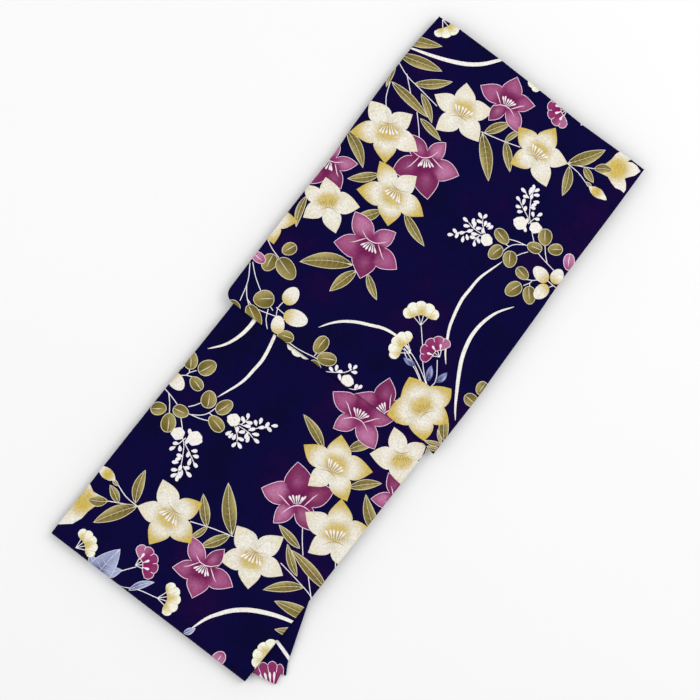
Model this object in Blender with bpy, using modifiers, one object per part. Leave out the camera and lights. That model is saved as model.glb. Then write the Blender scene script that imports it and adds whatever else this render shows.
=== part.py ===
"""A cotton yukata, folded flat for storage and lying on its back panel.

Metres, +Z up. The robe lies on z = 0 with its length along Y: the shoulder folds are at +Y and
the crosswise fold of the body is at -Y. +X is the side of the side seams, -X the centre back.
The origin is under the middle of the bundle's box.

The left sleeve lies over the body. Under it the left back panel runs down to the crosswise
fold, round it, and back along the underside to its hem. The right sleeve lies in the middle of
the stack, and folds of the right front and right back slip out beside the crosswise fold.
"""

import math
from collections import namedtuple

import bmesh
import bpy

# The garment, as it measures when folded.
FOLDED_LENGTH = 0.8512
SLEEVE_LENGTH = 0.4640
HEM_SHORT_OF_SHOULDER = 0.0200
CUFF_OPENING = 0.2300
SLEEVE_SEAM_TO_BODY = 0.2200

# The stack, from the surface up.
CLOTH = 0.0012
GAP = 0.0003
BODY_HEIGHT = 0.0164
SLEEVE_THICKNESS = 0.0028
RIGHT_SLEEVE_LIFT = 0.0068
FLAP_THICKNESS = 0.0050

# How the stack softens towards its edges.
SOFT_EDGE_WIDTH = 0.0250
SOFT_EDGE_DROP = 0.0012
ROLL_WIDTH = 0.0030
CENTRE_BACK_ROLL = 0.0034
SIDE_SEAM_ROLL = 0.0012
SHOULDER_ROLL = 0.0026
SHOULDER_SET_BACK = 0.0024
FOLD_DEPTH = 0.0065
UNEVENNESS = 0.00035

# Where the shoulder folds are along Y, so that the origin is under the middle, and how far
# below them the stack starts to round over into the crosswise fold.
SHOULDER_Y = FOLDED_LENGTH / 2
FOLD_DOWN = FOLDED_LENGTH - FOLD_DEPTH

# Points on a panel: close together inside its edges, and evenly apart on open stretches.
NEAR_EDGE = (0.0, 0.0004, 0.0012, 0.0030, 0.0080, 0.0160, 0.0260, 0.0370)
ROW_SPACING = 0.0340
COLUMN_SPACING = 0.0330
FOLD_STEPS = 9

Edge = namedtuple("Edge", "down left right")
BODY_EDGES = (
    Edge(down=0.000, left=-0.1600, right=0.1500),
    Edge(down=0.200, left=-0.1630, right=0.1512),
    Edge(down=0.465, left=-0.1665, right=0.1518),
    Edge(down=0.710, left=-0.1716, right=0.1497),
    Edge(down=0.8512, left=-0.1730, right=0.1472),
)
LEFT_SLEEVE_EDGES = (
    Edge(down=0.000, left=-0.1812, right=0.1537),
    Edge(down=0.070, left=-0.1857, right=0.1552),
    Edge(down=0.190, left=-0.1838, right=0.1563),
    Edge(down=0.228, left=-0.1814, right=0.1583),
    Edge(down=0.315, left=-0.1828, right=0.1608),
    Edge(down=0.370, left=-0.1829, right=0.1624),
    Edge(down=0.464, left=-0.1826, right=0.1615),
)
RIGHT_SLEEVE_EDGES = (
    Edge(down=0.000, left=-0.1742, right=0.1470),
    Edge(down=0.240, left=-0.1765, right=0.1490),
    Edge(down=0.458, left=-0.1752, right=0.1500),
)

End = namedtuple("End", "across shoulder hem")
LEFT_SLEEVE_ENDS = (
    End(across=0.00, shoulder=0.0042, hem=0.4662),
    End(across=0.13, shoulder=0.0006, hem=0.4668),
    End(across=0.45, shoulder=0.0008, hem=0.4640),
    End(across=0.78, shoulder=0.0028, hem=0.4615),
    End(across=0.93, shoulder=0.0000, hem=0.4600),
    End(across=1.00, shoulder=0.0000, hem=0.4640),
)
RIGHT_SLEEVE_ENDS = (
    End(across=0.00, shoulder=0.0060, hem=0.4560),
    End(across=0.50, shoulder=0.0050, hem=0.4580),
    End(across=1.00, shoulder=0.0045, hem=0.4570),
)
TAMOTO_RADIUS = 0.0130

Flap = namedtuple("Flap", "down right")
RIGHT_FRONT_EDGE = (
    Flap(down=0.7130, right=0.1486),
    Flap(down=0.7550, right=0.1628),
    Flap(down=0.7945, right=0.1757),
    Flap(down=0.8170, right=0.1790),
    Flap(down=0.8300, right=0.1818),
)
RIGHT_BACK_EDGE = (
    Flap(down=0.7130, right=0.1478),
    Flap(down=0.7550, right=0.1620),
    Flap(down=0.7945, right=0.1758),
    Flap(down=0.8128, right=0.1856),
)
FLAP_ROOT_X = 0.1200
FLAP_ROOT_LIFT = 0.0107
FLAP_DROOP_FROM_X = 0.1472
FLAP_DROOP_WIDTH = 0.0380
FLAP_DROOP = 0.0052
FLAP_COLUMNS = (0.0, 0.30, 0.50, 0.68, 0.82, 0.92, 1.0)
FLAP_ROWS = 8
RIGHT_FRONT_END_AT_ROOT = 0.8405
RIGHT_BACK_END_AT_ROOT = 0.8270

Layer = namedtuple("Layer", "low high left right shoulder")
HIDDEN_LAYERS = (
    Layer(low=0.0015, high=0.0040, left=0.0034, right=0.0016, shoulder=0.0225),
    Layer(low=0.0040, high=0.0065, left=0.0028, right=0.0034, shoulder=0.0190),
    Layer(low=0.0065, high=0.0099, left=0.0046, right=0.0052, shoulder=0.0090),
    Layer(low=0.0099, high=0.0124, left=0.0030, right=0.0030, shoulder=0.0062),
    Layer(low=0.0124, high=0.0149, left=0.0038, right=0.0014, shoulder=0.0048),
)
LAYER_ROUNDING = 0.0011
LAYER_WANDER = 0.0005
CORNER_ROUNDING = 0.0022
OVERHANG_SINK = 0.0020
OVERHANG_SINK_WIDTH = 0.0170
CUT_REACH = 0.5000

# The hidden stack's rings of points: along its length, across it, and near its corners; then
# how far in from the edge the rings over its top lie.
STACK_ROWS = 17
STACK_COLUMNS = 10
NEAR_CORNER = (0.0, 0.0012, 0.0040, 0.0100)
TOP_INSETS = (0.0, 0.0060, 0.0140, 0.0280, 0.0600, 0.1000, 0.1420)
LAYER_SHARES = (0.0, 0.12, 0.5, 0.88)

NAVY = (0.0060, 0.0042, 0.0350)


def smooth(t):
    t = min(max(t, 0.0), 1.0)
    return t * t * (3 - 2 * t)


def read(table, column, at):
    """The value of a table's column at a place in its first column, on a smooth curve."""
    places = [row[0] for row in table]
    values = [getattr(row, column) for row in table]
    if at <= places[0]:
        return values[0]
    if at >= places[-1]:
        return values[-1]
    i = max(k for k in range(len(places) - 1) if places[k] <= at)
    slopes = []
    for k in (i, i + 1):
        low = max(k - 1, 0)
        high = min(k + 1, len(places) - 1)
        slopes.append((values[high] - values[low]) / (places[high] - places[low]))
    span = places[i + 1] - places[i]
    t = (at - places[i]) / span
    return (
        (2 * t**3 - 3 * t**2 + 1) * values[i]
        + (t**3 - 2 * t**2 + t) * span * slopes[0]
        + (3 * t**2 - 2 * t**3) * values[i + 1]
        + (t**3 - t**2) * span * slopes[1]
    )


def spread(start, end, spacing):
    """Even steps of about the given spacing, both ends included."""
    count = max(round(abs(end - start) / spacing), 1)
    return [start + (end - start) * k / count for k in range(count + 1)]


def soft_drop(distance):
    """How far cloth has sunk at a distance inside an edge. Past the edge it goes on sinking."""
    return SOFT_EDGE_DROP * max(1 - distance / SOFT_EDGE_WIDTH, 0.0) ** 2


def roll_drop(distance, drop):
    """How far a panel turns down over the last few millimetres before a folded edge."""
    t = 1 - min(max(distance / ROLL_WIDTH, 0.0), 1.0)
    return drop * (1 - math.sqrt(1 - t * t))


def unevenness(x, y):
    """The slight swell of a stack of folded cloth."""
    return UNEVENNESS * (
        math.sin(21 * x + 9 * y + 0.6)
        + 0.7 * math.sin(13 * y - 25 * x + 2.1)
        + 0.5 * math.sin(31 * y + 8 * x + 4.0)
    )


def bed(x, down):
    """The height of the body's top, carried on evenly past its edges for what overhangs them."""
    from_left = x - read(BODY_EDGES, "left", down)
    from_right = read(BODY_EDGES, "right", down) - x
    return (
        BODY_HEIGHT
        + unevenness(x, SHOULDER_Y - down)
        - soft_drop(from_left)
        - soft_drop(from_right)
        - soft_drop(down)
    )


def panel_top(x, down):
    """The outer height of the left back panel on top of the stack, turned down at its edges."""
    return (
        bed(x, down)
        - roll_drop(x - read(BODY_EDGES, "left", down), CENTRE_BACK_ROLL)
        - roll_drop(read(BODY_EDGES, "right", down) - x, SIDE_SEAM_ROLL)
    )


def columns(left, right):
    """X places across a panel, closer together where its edges turn down."""
    *near, last = NEAR_EDGE
    middle = spread(left + last, right - last, COLUMN_SPACING)
    return [left + d for d in near] + middle + [right - d for d in reversed(near)]


def cloth_material():
    material = bpy.data.materials.new("printed cotton")
    material.use_nodes = True
    shader = material.node_tree.nodes["Principled BSDF"]
    shader.inputs["Base Color"].default_value = (*NAVY, 1.0)
    shader.inputs["Roughness"].default_value = 0.85
    shader.inputs["Metallic"].default_value = 0.0
    return material


def new_object(name, bm, collection, material):
    mesh = bpy.data.meshes.new(name)
    bm.to_mesh(mesh)
    bm.free()
    mesh.materials.append(material)
    mesh.shade_smooth()
    mesh.set_sharp_from_angle(angle=math.radians(40))
    obj = bpy.data.objects.new(name, mesh)
    collection.objects.link(obj)
    return obj


def add_wall(obj, thickness, offset, even=True):
    """Gives an open surface its thickness: offset -1 keeps the points on the outer face."""
    wall = obj.modifiers.new("Wall", "SOLIDIFY")
    wall.thickness = thickness
    wall.offset = offset
    wall.use_even_offset = even


def grid_faces(bm, rows, closed=False):
    """Joins rows of points into faces, and the last row to the first where closed."""
    made = [[bm.verts.new(point) for point in row] for row in rows]
    pairs = list(zip(made, made[1:]))
    if closed:
        pairs.append((made[-1], made[0]))
    for row, following in pairs:
        for k in range(len(row) - 1):
            bm.faces.new((row[k], following[k], following[k + 1], row[k + 1]))
    return made


def fold_arc(low, high, depth, steps):
    """Points of a half-round fold from its top to its foot, as (how far out, height)."""
    middle = (low + high) / 2
    radius = (high - low) / 2
    turns = [math.pi * k / steps for k in range(1, steps)]
    return [(depth * math.sin(a), middle + radius * math.cos(a)) for a in turns]


def build_left_back(collection, material):
    """The panel on top, round the crosswise fold and along the underside to its hem."""

    def across(down):
        return columns(read(BODY_EDGES, "left", down), read(BODY_EDGES, "right", down))

    *near, last = NEAR_EDGE
    top_downs = [SHOULDER_SET_BACK + d for d in near]
    top_downs += spread(SHOULDER_SET_BACK + last, FOLD_DOWN, ROW_SPACING)
    rows = []
    for down in top_downs:
        turned = roll_drop(down - SHOULDER_SET_BACK, SHOULDER_ROLL)
        rows.append([(x, SHOULDER_Y - down, panel_top(x, down) - turned) for x in across(down)])
    fold_y = SHOULDER_Y - FOLD_DOWN
    arcs = [fold_arc(0.0, z, FOLD_DEPTH, FOLD_STEPS) for x, y, z in rows[-1]]
    for step in zip(*arcs):
        rows.append([(x, fold_y - out, z) for x, (out, z) in zip(across(FOLD_DOWN), step)])
    for down in spread(FOLD_DOWN, HEM_SHORT_OF_SHOULDER, ROW_SPACING):
        rows.append([(x, SHOULDER_Y - down, 0.0) for x in across(down)])

    bm = bmesh.new()
    grid_faces(bm, rows)
    add_wall(new_object("left_back", bm, collection, material), CLOTH, -1)


def build_sleeve(name, edges, ends, lift, collection, material):
    """A sleeve pressed flat: folded at the shoulder, sewn at its hem and below its cuff."""
    width = edges[0].right - edges[0].left
    across = [x / width for x in columns(0.0, width)]
    radius = SLEEVE_THICKNESS / 2
    places = [0.0, *NEAR_EDGE[4:-1]] + spread(NEAR_EDGE[-1], SLEEVE_LENGTH, ROW_SPACING)
    steps = [place / SLEEVE_LENGTH for place in places]
    count = len(steps)
    bends = [math.pi * k / 4 for k in (1, 2, 3)]

    def between(s):
        """Where the flat part of a column starts and ends, short of its two folds."""
        corner = 1 - min(s * width / TAMOTO_RADIUS, 1.0)
        rounded = TAMOTO_RADIUS * (1 - math.sqrt(1 - corner * corner))
        return read(ends, "shoulder", s) + radius, read(ends, "hem", s) - rounded - radius

    def row_of(down_at, height):
        row = []
        for s in across:
            down = down_at(*between(s))
            left = read(edges, "left", down)
            x = left + (read(edges, "right", down) - left) * s
            row.append((x, SHOULDER_Y - down, lift(x, down) + height))
        return row

    rows = [row_of(lambda a, b, t=t: a + (b - a) * t, SLEEVE_THICKNESS) for t in steps]
    for bend in bends:
        out = radius * math.sin(bend)
        rows.append(row_of(lambda a, b, out=out: b + out, radius * (1 + math.cos(bend))))
    rows += [row_of(lambda a, b, t=t: a + (b - a) * t, 0.0) for t in reversed(steps)]
    for bend in bends:
        out = radius * math.sin(bend)
        rows.append(row_of(lambda a, b, out=out: a - out, radius * (1 - math.cos(bend))))

    bm = bmesh.new()
    made = grid_faces(bm, rows, closed=True)
    below_cuff = [k for k in range(count) if steps[k] * SLEEVE_LENGTH > CUFF_OPENING]
    sewn_to_body = [k for k in range(count) if steps[k] * SLEEVE_LENGTH < SLEEVE_SEAM_TO_BODY]
    close_end(bm, made, below_cuff, count + 1, 2 * count + 2, 0)
    close_end(bm, made, [-1] + sewn_to_body, -2, 2 * count + 2, -1)
    add_wall(new_object(name, bm, collection, material), CLOTH, -1, even=False)


def close_end(bm, made, rows, tip, mirror, column):
    """Joins the top of a flat tube's end to its underside, row mirror - k lying under row k."""
    faces = [(k, k + 1, mirror - k - 1, mirror - k) for k in rows]
    if tip < 0:
        faces.append((tip, rows[0], mirror - rows[0]))
    else:
        faces.append((rows[-1] + 1, tip, mirror - rows[-1] - 1))
    for face in faces:
        ring = [made[k][column] for k in face]
        bm.faces.new(ring if column else ring[::-1])


def left_sleeve_lift(x, down):
    return bed(x, down) + GAP


def right_sleeve_lift(x, down):
    """Level inside the stack, and sinking where the sleeve's mouth reaches past it."""
    edge = read(BODY_EDGES, "left", down) + HIDDEN_LAYERS[1].left
    beyond = max(edge - x, 0.0)
    return RIGHT_SLEEVE_LIFT - OVERHANG_SINK * (beyond / OVERHANG_SINK_WIDTH) ** 2


def flap_top(x):
    """The height of the slipped folds: level in the stack, sinking towards their edge."""
    return FLAP_ROOT_LIFT - FLAP_DROOP * smooth((x - FLAP_DROOP_FROM_X) / FLAP_DROOP_WIDTH)


def flap_rows(edge, end_at_root, inset, height):
    """Rows down one sheet of a flap, from where it leaves the stack to its crosswise fold."""
    first = edge[0].down
    rows = []
    for t in spread(0.0, 1.0, 1 / FLAP_ROWS):
        row = []
        for s in FLAP_COLUMNS:
            last = end_at_root + (edge[-1].down - end_at_root) * s - inset
            down = first + (last - first) * t
            right = read(edge, "right", first + (edge[-1].down - first) * t)
            x = FLAP_ROOT_X + (right - FLAP_ROOT_X) * s
            row.append((x, SHOULDER_Y - down, flap_top(x) + height))
        rows.append(row)
    return rows


def build_right_front(collection, material):
    """The outer slipped fold: one sheet on top, one beneath, joined at their own fold."""
    radius = FLAP_THICKNESS / 2
    top = flap_rows(RIGHT_FRONT_EDGE, RIGHT_FRONT_END_AT_ROOT, radius, 0.0)
    under = flap_rows(RIGHT_FRONT_EDGE, RIGHT_FRONT_END_AT_ROOT, radius, -FLAP_THICKNESS)
    rows = list(top)
    for out, height in fold_arc(-FLAP_THICKNESS, 0.0, radius, FOLD_STEPS):
        rows.append([(x, y - out, z + height) for x, y, z in top[-1]])
    rows += under[::-1]
    bm = bmesh.new()
    grid_faces(bm, rows)
    add_wall(new_object("right_front", bm, collection, material), CLOTH, -1)


def build_right_back(collection, material):
    """The inner slipped fold, its two sheets pressed together, between those of the right front."""
    bm = bmesh.new()
    middle = -FLAP_THICKNESS / 2
    grid_faces(bm, flap_rows(RIGHT_BACK_EDGE, RIGHT_BACK_END_AT_ROOT, 0.0, middle))
    thickness = FLAP_THICKNESS - 2 * (CLOTH + GAP)
    add_wall(new_object("right_back", bm, collection, material), thickness, 0)


def hidden_height(nominal, x, down):
    """Where a level of the hidden stack lies: its upper layers are pressed at the edges."""
    pivot = HIDDEN_LAYERS[3].low
    if nominal <= pivot:
        return nominal
    top = bed(x, down) - CLOTH - GAP
    return pivot + (nominal - pivot) * (top - pivot) / (HIDDEN_LAYERS[-1].high - pivot)


def hidden_ring(index, layer, nominal, rounding, inset):
    """One level of the hidden stack, as points round it from its left shoulder corner."""

    def fold_end(x):
        half = bed(x, FOLD_DOWN) / 2
        z = hidden_height(nominal, x, FOLD_DOWN)
        share = min(abs(z - half) / (half - CLOTH - GAP), 1.0)
        reach = (FOLD_DEPTH - CLOTH - GAP) * math.sqrt(1 - share * share)
        return FOLD_DOWN + reach - inset

    start = layer.shoulder + rounding + inset
    end = fold_end(0.0)
    corner_length = NEAR_CORNER[-1]
    first = start + 2 * corner_length
    last = end - 2 * corner_length
    downs = [start + d for d in NEAR_CORNER]
    downs += [first + (last - first) * t for t in spread(0.0, 1.0, 1 / STACK_ROWS)]
    downs += [end - d for d in reversed(NEAR_CORNER)]
    sides = []
    for column, sign in (("left", 1), ("right", -1)):
        side = []
        for down in downs:
            from_end = min(down - start, end - down)
            corner = CORNER_ROUNDING * max(1 - from_end / corner_length, 0.0) ** 3
            wander = LAYER_WANDER * math.sin(17 * down + 2.3 * index + 1.9 * sign)
            off = getattr(layer, column) + rounding + inset + corner + wander
            side.append((read(BODY_EDGES, column, down) + sign * off, down))
        sides.append(side)
    left, right = sides
    fold_xs = spread(left[-1][0], right[-1][0], (right[-1][0] - left[-1][0]) / STACK_COLUMNS)
    shoulder_xs = spread(right[0][0], left[0][0], (right[0][0] - left[0][0]) / STACK_COLUMNS)
    ring = left + [(x, fold_end(x)) for x in fold_xs[1:-1]]
    ring += right[::-1] + [(x, start) for x in shoulder_xs[1:-1]]
    return [(x, SHOULDER_Y - down, hidden_height(nominal, x, down)) for x, down in ring]


def build_hidden_layers(collection, cutters, material):
    """Everything that the panels hide, as one stack with a rounded edge for each fold."""
    rings = []
    for index, layer in enumerate(HIDDEN_LAYERS):
        for share in LAYER_SHARES:
            nominal = layer.low + (layer.high - layer.low) * share
            rounding = LAYER_ROUNDING * (1 - math.sqrt(1 - (2 * share - 1) ** 2))
            rings.append(hidden_ring(index, layer, nominal, rounding, 0.0))
    for inset in TOP_INSETS:
        rings.append(hidden_ring(index, layer, layer.high, LAYER_ROUNDING, inset))

    bm = bmesh.new()
    made = [[bm.verts.new(point) for point in ring] for ring in rings]
    for ring, above in zip(made, made[1:]):
        for k in range(len(ring)):
            after = (k + 1) % len(ring)
            bm.faces.new((ring[k], ring[after], above[after], above[k]))
    bm.faces.new(made[0][::-1])
    bm.faces.new(made[-1])
    stack = new_object("hidden_layers", bm, collection, material)

    sleeve_end = SHOULDER_Y - max(row.hem for row in RIGHT_SLEEVE_ENDS) - 2 * GAP
    sleeve_low = RIGHT_SLEEVE_LIFT - GAP
    sleeve_high = RIGHT_SLEEVE_LIFT + SLEEVE_THICKNESS + GAP
    sleeve_box = ((-CUT_REACH, sleeve_end, sleeve_low), (CUT_REACH, CUT_REACH, sleeve_high))
    cut(stack, cutters, "right sleeve slot", *sleeve_box)
    flap_end = SHOULDER_Y - RIGHT_FRONT_EDGE[0].down + GAP
    flap_low = FLAP_ROOT_LIFT - FLAP_THICKNESS - GAP
    flap_high = FLAP_ROOT_LIFT + GAP
    flap_box = ((FLAP_ROOT_X - GAP, -CUT_REACH, flap_low), (CUT_REACH, flap_end, flap_high))
    cut(stack, cutters, "slipped folds slot", *flap_box)


def cut(obj, cutters, name, low, high):
    """Cuts a box between two corners out of an object."""
    bm = bmesh.new()
    bmesh.ops.create_cube(bm, size=1.0)
    for vert in bm.verts:
        for axis in range(3):
            vert.co[axis] = high[axis] if vert.co[axis] > 0 else low[axis]
    mesh = bpy.data.meshes.new(name)
    bm.to_mesh(mesh)
    bm.free()
    box = bpy.data.objects.new(name, mesh)
    box.hide_render = True
    box.display_type = "WIRE"
    cutters.objects.link(box)
    difference = obj.modifiers.new(name, "BOOLEAN")
    difference.operation = "DIFFERENCE"
    difference.object = box


def main():
    for obj in list(bpy.data.objects):
        bpy.data.objects.remove(obj)
    yukata = bpy.data.collections.new("Folded yukata")
    cutters = bpy.data.collections.new("Cutters")
    for collection in (yukata, cutters):
        bpy.context.scene.collection.children.link(collection)
    cotton = cloth_material()
    build_left_back(yukata, cotton)
    build_hidden_layers(yukata, cutters, cotton)
    build_right_front(yukata, cotton)
    build_right_back(yukata, cotton)
    build_sleeve(
        "left_sleeve", LEFT_SLEEVE_EDGES, LEFT_SLEEVE_ENDS, left_sleeve_lift, yukata, cotton
    )
    build_sleeve(
        "right_sleeve", RIGHT_SLEEVE_EDGES, RIGHT_SLEEVE_ENDS, right_sleeve_lift, yukata, cotton
    )


main()
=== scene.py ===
"""The looks of a cotton yukata folded flat: its printed cloth, its folded edges and its light.

Metres, +Z up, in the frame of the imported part: the shoulder folds are at +Y, the crosswise fold
of the body at -Y, the side seams at +X and the centre back at -X. "Down" is the distance from
the shoulder folds towards -Y. Each sheet of cloth is drawn flat, with its print, in places
(across, along), and then laid on the form of the solid that it stands for.
"""

import math
from collections import namedtuple

import bpy
import numpy as np
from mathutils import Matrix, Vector
from mathutils.geometry import delaunay_2d_cdt


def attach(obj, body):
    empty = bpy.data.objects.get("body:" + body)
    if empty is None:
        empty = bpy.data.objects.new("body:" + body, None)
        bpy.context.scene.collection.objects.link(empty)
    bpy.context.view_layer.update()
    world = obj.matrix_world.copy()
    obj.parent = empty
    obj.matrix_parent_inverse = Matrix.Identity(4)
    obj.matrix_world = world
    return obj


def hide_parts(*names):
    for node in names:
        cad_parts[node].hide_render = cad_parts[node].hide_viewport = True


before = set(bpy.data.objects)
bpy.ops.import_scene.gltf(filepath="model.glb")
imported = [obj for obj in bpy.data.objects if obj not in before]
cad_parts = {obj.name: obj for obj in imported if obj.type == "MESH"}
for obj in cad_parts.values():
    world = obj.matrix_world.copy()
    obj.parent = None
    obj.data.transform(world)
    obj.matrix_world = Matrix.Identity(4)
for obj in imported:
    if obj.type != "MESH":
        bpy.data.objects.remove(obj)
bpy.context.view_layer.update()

# The folded garment, as its solids are sized.
FOLDED_LENGTH = 0.8512
HEM_SHORT_OF_SHOULDER = 0.0200
CUFF_OPENING = 0.2300
SLEEVE_SEAM_TO_BODY = 0.2200
BODY_HEIGHT = 0.0164
SLEEVE_THICKNESS = 0.0028
RIGHT_SLEEVE_LIFT = 0.0068
GAP = 0.0003
SOFT_EDGE_WIDTH = 0.0250
SOFT_EDGE_DROP = 0.0012
ROLL_WIDTH = 0.0030
CENTRE_BACK_ROLL = 0.0034
SIDE_SEAM_ROLL = 0.0012
SHOULDER_ROLL = 0.0026
SHOULDER_SET_BACK = 0.0024
FOLD_DEPTH = 0.0065
UNEVENNESS = 0.00035
SHOULDER_Y = FOLDED_LENGTH / 2
FOLD_DOWN = FOLDED_LENGTH - FOLD_DEPTH
TAMOTO_RADIUS = 0.0130

# The cloth that shows is thinner than the walls of its solids.
CLOTH = 0.0006

Edge = namedtuple("Edge", "down left right")
BODY_EDGES = [Edge(*row) for row in (
    (0.000, -0.1600, 0.1500), (0.200, -0.1630, 0.1512), (0.465, -0.1665, 0.1518),
    (0.710, -0.1716, 0.1497), (0.8512, -0.1730, 0.1472),
)]
LEFT_SLEEVE_EDGES = [Edge(*row) for row in (
    (0.000, -0.1812, 0.1537), (0.070, -0.1857, 0.1552), (0.190, -0.1838, 0.1563),
    (0.228, -0.1814, 0.1583), (0.315, -0.1828, 0.1608), (0.370, -0.1829, 0.1624),
    (0.464, -0.1826, 0.1615),
)]
RIGHT_SLEEVE_EDGES = [Edge(*row) for row in (
    (0.000, -0.1742, 0.1470), (0.240, -0.1765, 0.1490), (0.458, -0.1752, 0.1500),
)]

End = namedtuple("End", "across shoulder hem")
LEFT_SLEEVE_ENDS = [End(*row) for row in (
    (0.00, 0.0042, 0.4662), (0.13, 0.0006, 0.4668), (0.45, 0.0008, 0.4640), (0.78, 0.0028, 0.4615),
    (0.93, 0.0000, 0.4600), (1.00, 0.0000, 0.4640),
)]
RIGHT_SLEEVE_ENDS = [End(*row) for row in (
    (0.00, 0.0060, 0.4560), (0.50, 0.0050, 0.4580), (1.00, 0.0045, 0.4570),
)]

Flap = namedtuple("Flap", "down right")
RIGHT_FRONT_EDGE = [Flap(*row) for row in (
    (0.7130, 0.1486), (0.7550, 0.1628), (0.7945, 0.1757), (0.8170, 0.1790), (0.8300, 0.1818),
)]
RIGHT_BACK_EDGE = [Flap(*row) for row in (
    (0.7130, 0.1478), (0.7550, 0.1620), (0.7945, 0.1758), (0.8128, 0.1856),
)]
FLAP_THICKNESS = 0.0050
FLAP_ROOT_X = 0.1200
FLAP_ROOT_LIFT = 0.0107
FLAP_DROOP_FROM_X = 0.1472
FLAP_DROOP_WIDTH = 0.0380
FLAP_DROOP = 0.0052
RIGHT_BACK_THICKNESS = 0.0020
RIGHT_FRONT_END_AT_ROOT = 0.8405
RIGHT_BACK_END_AT_ROOT = 0.8270


# ---- small tools


def smooth(t):
    t = np.clip(t, 0.0, 1.0)
    return t * t * (3 - 2 * t)


def read(table, column, at):
    """A table's column at places in its first column, on a smooth curve."""
    places = np.array([row[0] for row in table])
    values = np.array([getattr(row, column) for row in table])
    index = np.arange(len(places))
    low = np.maximum(index - 1, 0)
    high = np.minimum(index + 1, len(places) - 1)
    slopes = (values[high] - values[low]) / (places[high] - places[low])
    i = np.clip(np.searchsorted(places, at, side="right") - 1, 0, len(places) - 2)
    span = places[i + 1] - places[i]
    t = np.clip((at - places[i]) / span, 0.0, 1.0)
    bent = slopes[i] * (1 - t) - slopes[i + 1] * t
    return values[i] + (values[i + 1] - values[i]) * smooth(t) + span * t * (1 - t) * bent


def sides(edges, down):
    """Where a piece's left and right edges are, so far down."""
    return read(edges, "left", down), read(edges, "right", down)


def srgb(red, green, blue):
    """A colour as it looks, from 0 to 255, turned into linear light."""
    c = np.array((red, green, blue)) / 255
    return np.where(c <= 0.04045, c / 12.92, ((c + 0.055) / 1.055) ** 2.4)


def mix(a, b, share):
    """Colours between a and b, for each point's share."""
    share = np.asarray(share)[..., None]
    return a * (1 - share) + b * share


def spot(row):
    """The place that a row of a table gives."""
    return np.array((row.across, row.along), float)


def towards(degrees):
    """The direction of a turn."""
    turn = np.radians(degrees)
    return np.stack([np.cos(turn), np.sin(turn)], axis=-1)


def around(turn):
    """A turn as degrees from -180 to 180."""
    return (turn + 180) % 360 - 180


def twice_area(ring):
    """Twice the area inside a ring, below zero where the ring runs clockwise."""
    after = np.roll(ring, -1, axis=0)
    return np.sum(ring[:, 0] * after[:, 1] - ring[:, 1] * after[:, 0])


def bezier(points, count):
    """Points along a cubic curve, its last one left out."""
    t = np.arange(count)[:, None] / count
    a, b, c, d = (np.asarray(p, float) for p in points)
    return a * (1 - t) ** 3 + 3 * b * t * (1 - t) ** 2 + 3 * c * t**2 * (1 - t) + d * t**3


def curve_through(points, spacing):
    """An even smooth curve through the given points."""
    points = np.asarray(points, float)
    if len(points) == 2:
        points = np.array([points[0], points.mean(axis=0), points[1]])
    ends = np.array([2 * points[0] - points[1], *points, 2 * points[-1] - points[-2]])
    made = []
    for a, b, c, d in zip(ends, ends[1:], ends[2:], ends[3:]):
        count = max(int(np.linalg.norm(c - b) / spacing), 1)
        t = np.arange(count)[:, None] / count
        step = (2 * b) + (c - a) * t + (2 * a - 5 * b + 4 * c - d) * t**2
        made.append((step + (3 * b - a - 3 * c + d) * t**3) / 2)
    return np.concatenate([*made, points[-1:]])


# ---- the form of the folded stack


def soft_drop(distance):
    return SOFT_EDGE_DROP * np.maximum(1 - distance / SOFT_EDGE_WIDTH, 0.0) ** 2


def roll_drop(distance, drop):
    t = 1 - np.clip(distance / ROLL_WIDTH, 0.0, 1.0)
    return drop * (1 - np.sqrt(1 - t * t))


def unevenness(x, y):
    return UNEVENNESS * (
        np.sin(21 * x + 9 * y + 0.6)
        + 0.7 * np.sin(13 * y - 25 * x + 2.1)
        + 0.5 * np.sin(31 * y + 8 * x + 4.0)
    )


def bed(x, down):
    """The height of the body's top, which goes on dropping past its edges."""
    left, right = sides(BODY_EDGES, down)
    dropped = soft_drop(x - left) + soft_drop(right - x) + soft_drop(down)
    return BODY_HEIGHT + unevenness(x, SHOULDER_Y - down) - dropped


def panel_top(x, down):
    left, right = sides(BODY_EDGES, down)
    rolled = roll_drop(x - left, CENTRE_BACK_ROLL) + roll_drop(right - x, SIDE_SEAM_ROLL)
    return bed(x, down) - rolled


# ---- the print
#
# One repeat of the print, on a chart in millimetres: across from the middle of the left sleeve,
# along from its shoulder fold. Turns are in degrees from +across towards +along.

REPEAT = 563.0
MM = 0.001

NAVY = srgb(8, 5, 45)
REVERSE = srgb(40, 35, 82)
IVORY = srgb(230, 226, 214)
SHADE = srgb(206, 200, 176)
GOLD = srgb(198, 172, 66)
KHAKI = srgb(160, 136, 62)
OLIVE = srgb(121, 107, 46)
OLIVE_DARK = srgb(80, 70, 24)
OLIVE_LIGHT = srgb(190, 178, 116)
LEAF_EDGE = srgb(212, 204, 170)
PLUM = srgb(138, 52, 98)
PLUM_DARK = srgb(106, 26, 70)
PLUM_LIGHT = srgb(184, 118, 154)
PLUM_EDGE = srgb(238, 214, 226)
MAGENTA = srgb(132, 30, 82)
WHITE = srgb(236, 231, 232)
BLADE = srgb(236, 232, 223)
LEMON = srgb(238, 237, 220)
LILAC = srgb(104, 112, 160)
LILAC_DARK = srgb(60, 66, 120)
LILAC_LIGHT = srgb(174, 180, 206)
LILAC_PALE = srgb(206, 210, 226)
SLATE = srgb(50, 62, 112)

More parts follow.
